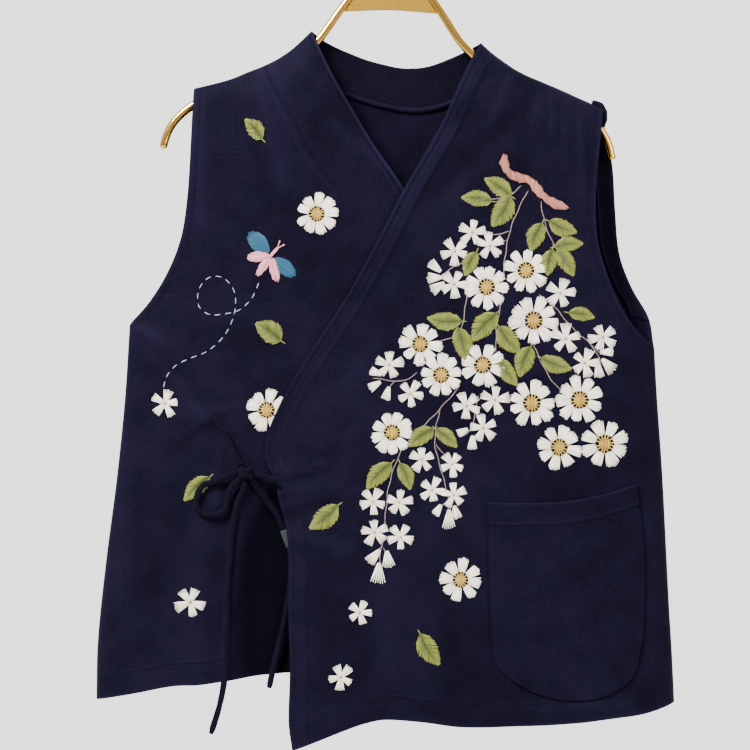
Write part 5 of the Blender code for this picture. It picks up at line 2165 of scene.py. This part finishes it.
@dataclass
class Hanger:
    """Bent rod, plate and hook of polished metal."""

    sides: int = 32

    def rod(self) -> None:
        """Builds the rod, rounded at one end and cut flat at the other."""
        right = [(x, 0.0, z) for x, z in ROD_HALF]
        left = [(-x, 0.0, z) for x, _, z in reversed(right[1:])]
        path = evenly(smooth_path(left + right, 4.0), 2.2)
        half = ROD_RADIUS * dome(np.arange(len(path)) * 2.2 / ROD_RADIUS, 0.02)
        half[-1] *= 0.93
        points, faces = sweep(path, half, half, self.sides, (0.0, -1.0, 0.0))
        self.keep(new_mesh("hanger_arms", points, faces, Finish.GOLD), "hanger_rod")

    def hook(self) -> None:
        """Builds the hook and its stem."""
        centre = np.array([0.0, 0.0, HOOK_RADIUS - HOOK_BEND])
        angles = np.radians(np.arange(205, -26, -5))
        bend = centre + np.stack([np.cos(angles), 0 * angles, np.sin(angles)], axis=1) * HOOK_BEND
        stem = smooth_path([(x, 0.0, z) for x, z in HOOK_STEM], 1.5)
        path = evenly(np.vstack([bend, stem]), 1.4)
        half = HOOK_RADIUS * dome(np.arange(len(path)) * 1.4 / HOOK_RADIUS, 0.03)
        points, faces = sweep(path, half, half, 20, (0.0, -1.0, 0.0))
        self.keep(new_mesh("hanger_hook_wire", points, faces, Finish.GOLD), "hanger_hook")

    def plate(self) -> None:
        """Builds the plate, a flat slab with rounded edges."""
        ring = np.vstack([smooth_path(PLATE_OUTLINE[:3], 4.0), PLATE_OUTLINE[3:]])
        half = PLATE_THICKNESS / 2
        count = len(ring)
        front = np.stack([ring[:, 0], np.full(count, -half), ring[:, 1]], axis=1)
        back = front + np.array([0.0, PLATE_THICKNESS, 0.0])
        faces = [tuple(range(count)), tuple(range(2 * count - 1, count - 1, -1))]
        for index in range(count):
            after = (index + 1) % count
            faces.append((after, index, count + index, count + after))
        made = new_mesh("hanger_name_free_plate", np.vstack([front, back]), faces, Finish.GOLD_PLATE)
        made.data.shade_flat()
        add_bevel(made, "soft rim", 0.8, 3, 50)
        self.keep(made, "hanger_plate")

    @staticmethod
    def keep(made: Object, node: str) -> None:
        """Hangs a hanger piece on the body, hides its solid and logs its faces."""
        fit(made, node)
        log.info("%s: %d faces", made.name, len(made.data.polygons))

    def build(self) -> None:
        """Builds every hanger piece."""
        self.rod()
        self.hook()
        self.plate()


@dataclass
class BlankTape:
    """The small folded tape end behind the outer edge, with nothing on it."""

    rows: int = 12
    columns: int = 9

    def build(self) -> None:
        """Builds the tape as a folded strip."""
        wide, thick, tall = TAPE_SIZE
        half = np.linspace(tall / 2, -tall / 2 + 0.6, self.rows)
        z = np.concatenate([half, half[::-1]])[:, None]
        y = np.repeat([-thick / 2, thick / 2 - 0.4], self.rows)[:, None]
        y[self.rows - 1] -= 0.05
        x = np.linspace(-wide / 2 + 3.0, wide / 2, self.columns)[None, :]
        turn_cos, turn_sin = math.cos(TAPE_TILT), math.sin(TAPE_TILT)
        wave = 0.12 * np.sin(x / 2.2) * (z / tall)
        grid = np.stack([x * turn_cos + z * turn_sin, y + wave, z * turn_cos - x * turn_sin], axis=-1)
        made = ClothPanel.from_grid("blank_tape_end", grid + np.array(TAPE_CENTRE), Finish.TAPE, 0.3, True)
        made.modifiers.remove(made.modifiers["soft rims"])
        fit(made, "edge_tape")
        log.info("blank tape built")


# ---- Studio


@dataclass
class Studio:
    """Camera, soft lights and a plain pale floor."""

    scale: float = 0.000925
    image: int = 750
    axis_column: float = 382.5
    pivot_row: float = 100.0
    distance: float = 2.4
    front_plane: float = 0.012
    roll: float = math.radians(-1.3)
    front_glow: float = 0.68
    back_glow: float = 2.3

    def camera(self) -> None:
        """Sets the camera at the photograph's place."""
        data = bpy.data.cameras.new("camera")
        made = place_object("camera", data)
        bpy.context.scene.camera = made
        data.sensor_width = 36.0
        data.lens = 36.0 * (self.distance - self.front_plane) / (self.image * self.scale)
        across, down = self.image / 2 - self.axis_column, self.image / 2 + self.pivot_row
        made.location = (across * self.scale, -self.distance, -down * self.scale)
        made.rotation_euler = (math.pi / 2, self.roll, 0.0)

    def light(self, name: str, place: Sequence[float], size: float, power: float) -> None:
        """Sets one soft light, aimed at the waistcoat's middle.

        Args:
            name: its name.
            place: where it stands.
            size: its width.
            power: its power in watts.
        """
        data = bpy.data.lights.new(name, "AREA")
        data.shape = "DISK"
        data.size = size
        data.energy = power
        made = place_object(name, data)
        made.location = place
        aim = Vector((0.0, 0.0, -0.42)) - Vector(place)
        made.rotation_euler = aim.to_track_quat("-Z", "Y").to_euler()

    def room(self) -> None:
        """Sets the room: a bright backdrop behind and softer walls in front."""
        world = bpy.data.worlds.new("pale room")
        bpy.context.scene.world = world
        world.use_nodes = True
        nodes, links = world.node_tree.nodes, world.node_tree.links
        way = nodes.new("ShaderNodeTexCoord")
        parts = nodes.new("ShaderNodeSeparateXYZ")
        links.new(way.outputs["Generated"], parts.inputs[0])
        glow = nodes.new("ShaderNodeMapRange")
        for key, value in ((1, -0.35), (2, 0.35), (3, self.front_glow), (4, self.back_glow)):
            glow.inputs[key].default_value = value
        links.new(parts.outputs["Y"], glow.inputs[0])
        links.new(glow.outputs[0], nodes["Background"].inputs[1])
        nodes["Background"].inputs[0].default_value = (0.98, 1.0, 0.98, 1.0)

    def floor(self) -> None:
        """Lays the floor."""
        half, level = 2.4, -1.6
        mesh = bpy.data.meshes.new("pale floor")
        corners = [(-half, -half, level), (half, -half, level), (half, half, level), (-half, half, level)]
        mesh.from_pydata(corners, [], [(0, 1, 2, 3)])
        nodes = Nodes("pale floor")
        nodes.set(Base_Color=(0.80, 0.80, 0.785, 1.0), Roughness=0.9)
        mesh.materials.append(nodes.material)
        place_object("pale_floor", mesh)

    def build(self) -> None:
        """Sets up the whole studio."""
        self.camera()
        self.light("key light", (-1.2, -1.35, 1.15), 0.8, 218.0)
        self.light("fill light", (1.5, -1.7, 0.1), 1.4, 44.0)
        self.light("back light", (0.5, 1.9, 0.8), 1.4, 40.0)
        self.room()
        self.floor()


def main() -> None:
    """Builds the waistcoat in order and logs several pieces as they are built."""
    logging.basicConfig(level=logging.INFO, format="%(name)s: %(message)s")
    Studio().build()
    Ties().build()
    Body().build()
    pocket = PatchPocket()
    pocket.build()
    Topstitching().build(StitchTree(), pocket)
    Embroidery().build(ThreadTree())
    BlankTape().build()
    Hanger().build()


if __name__ == "__main__":
    main()
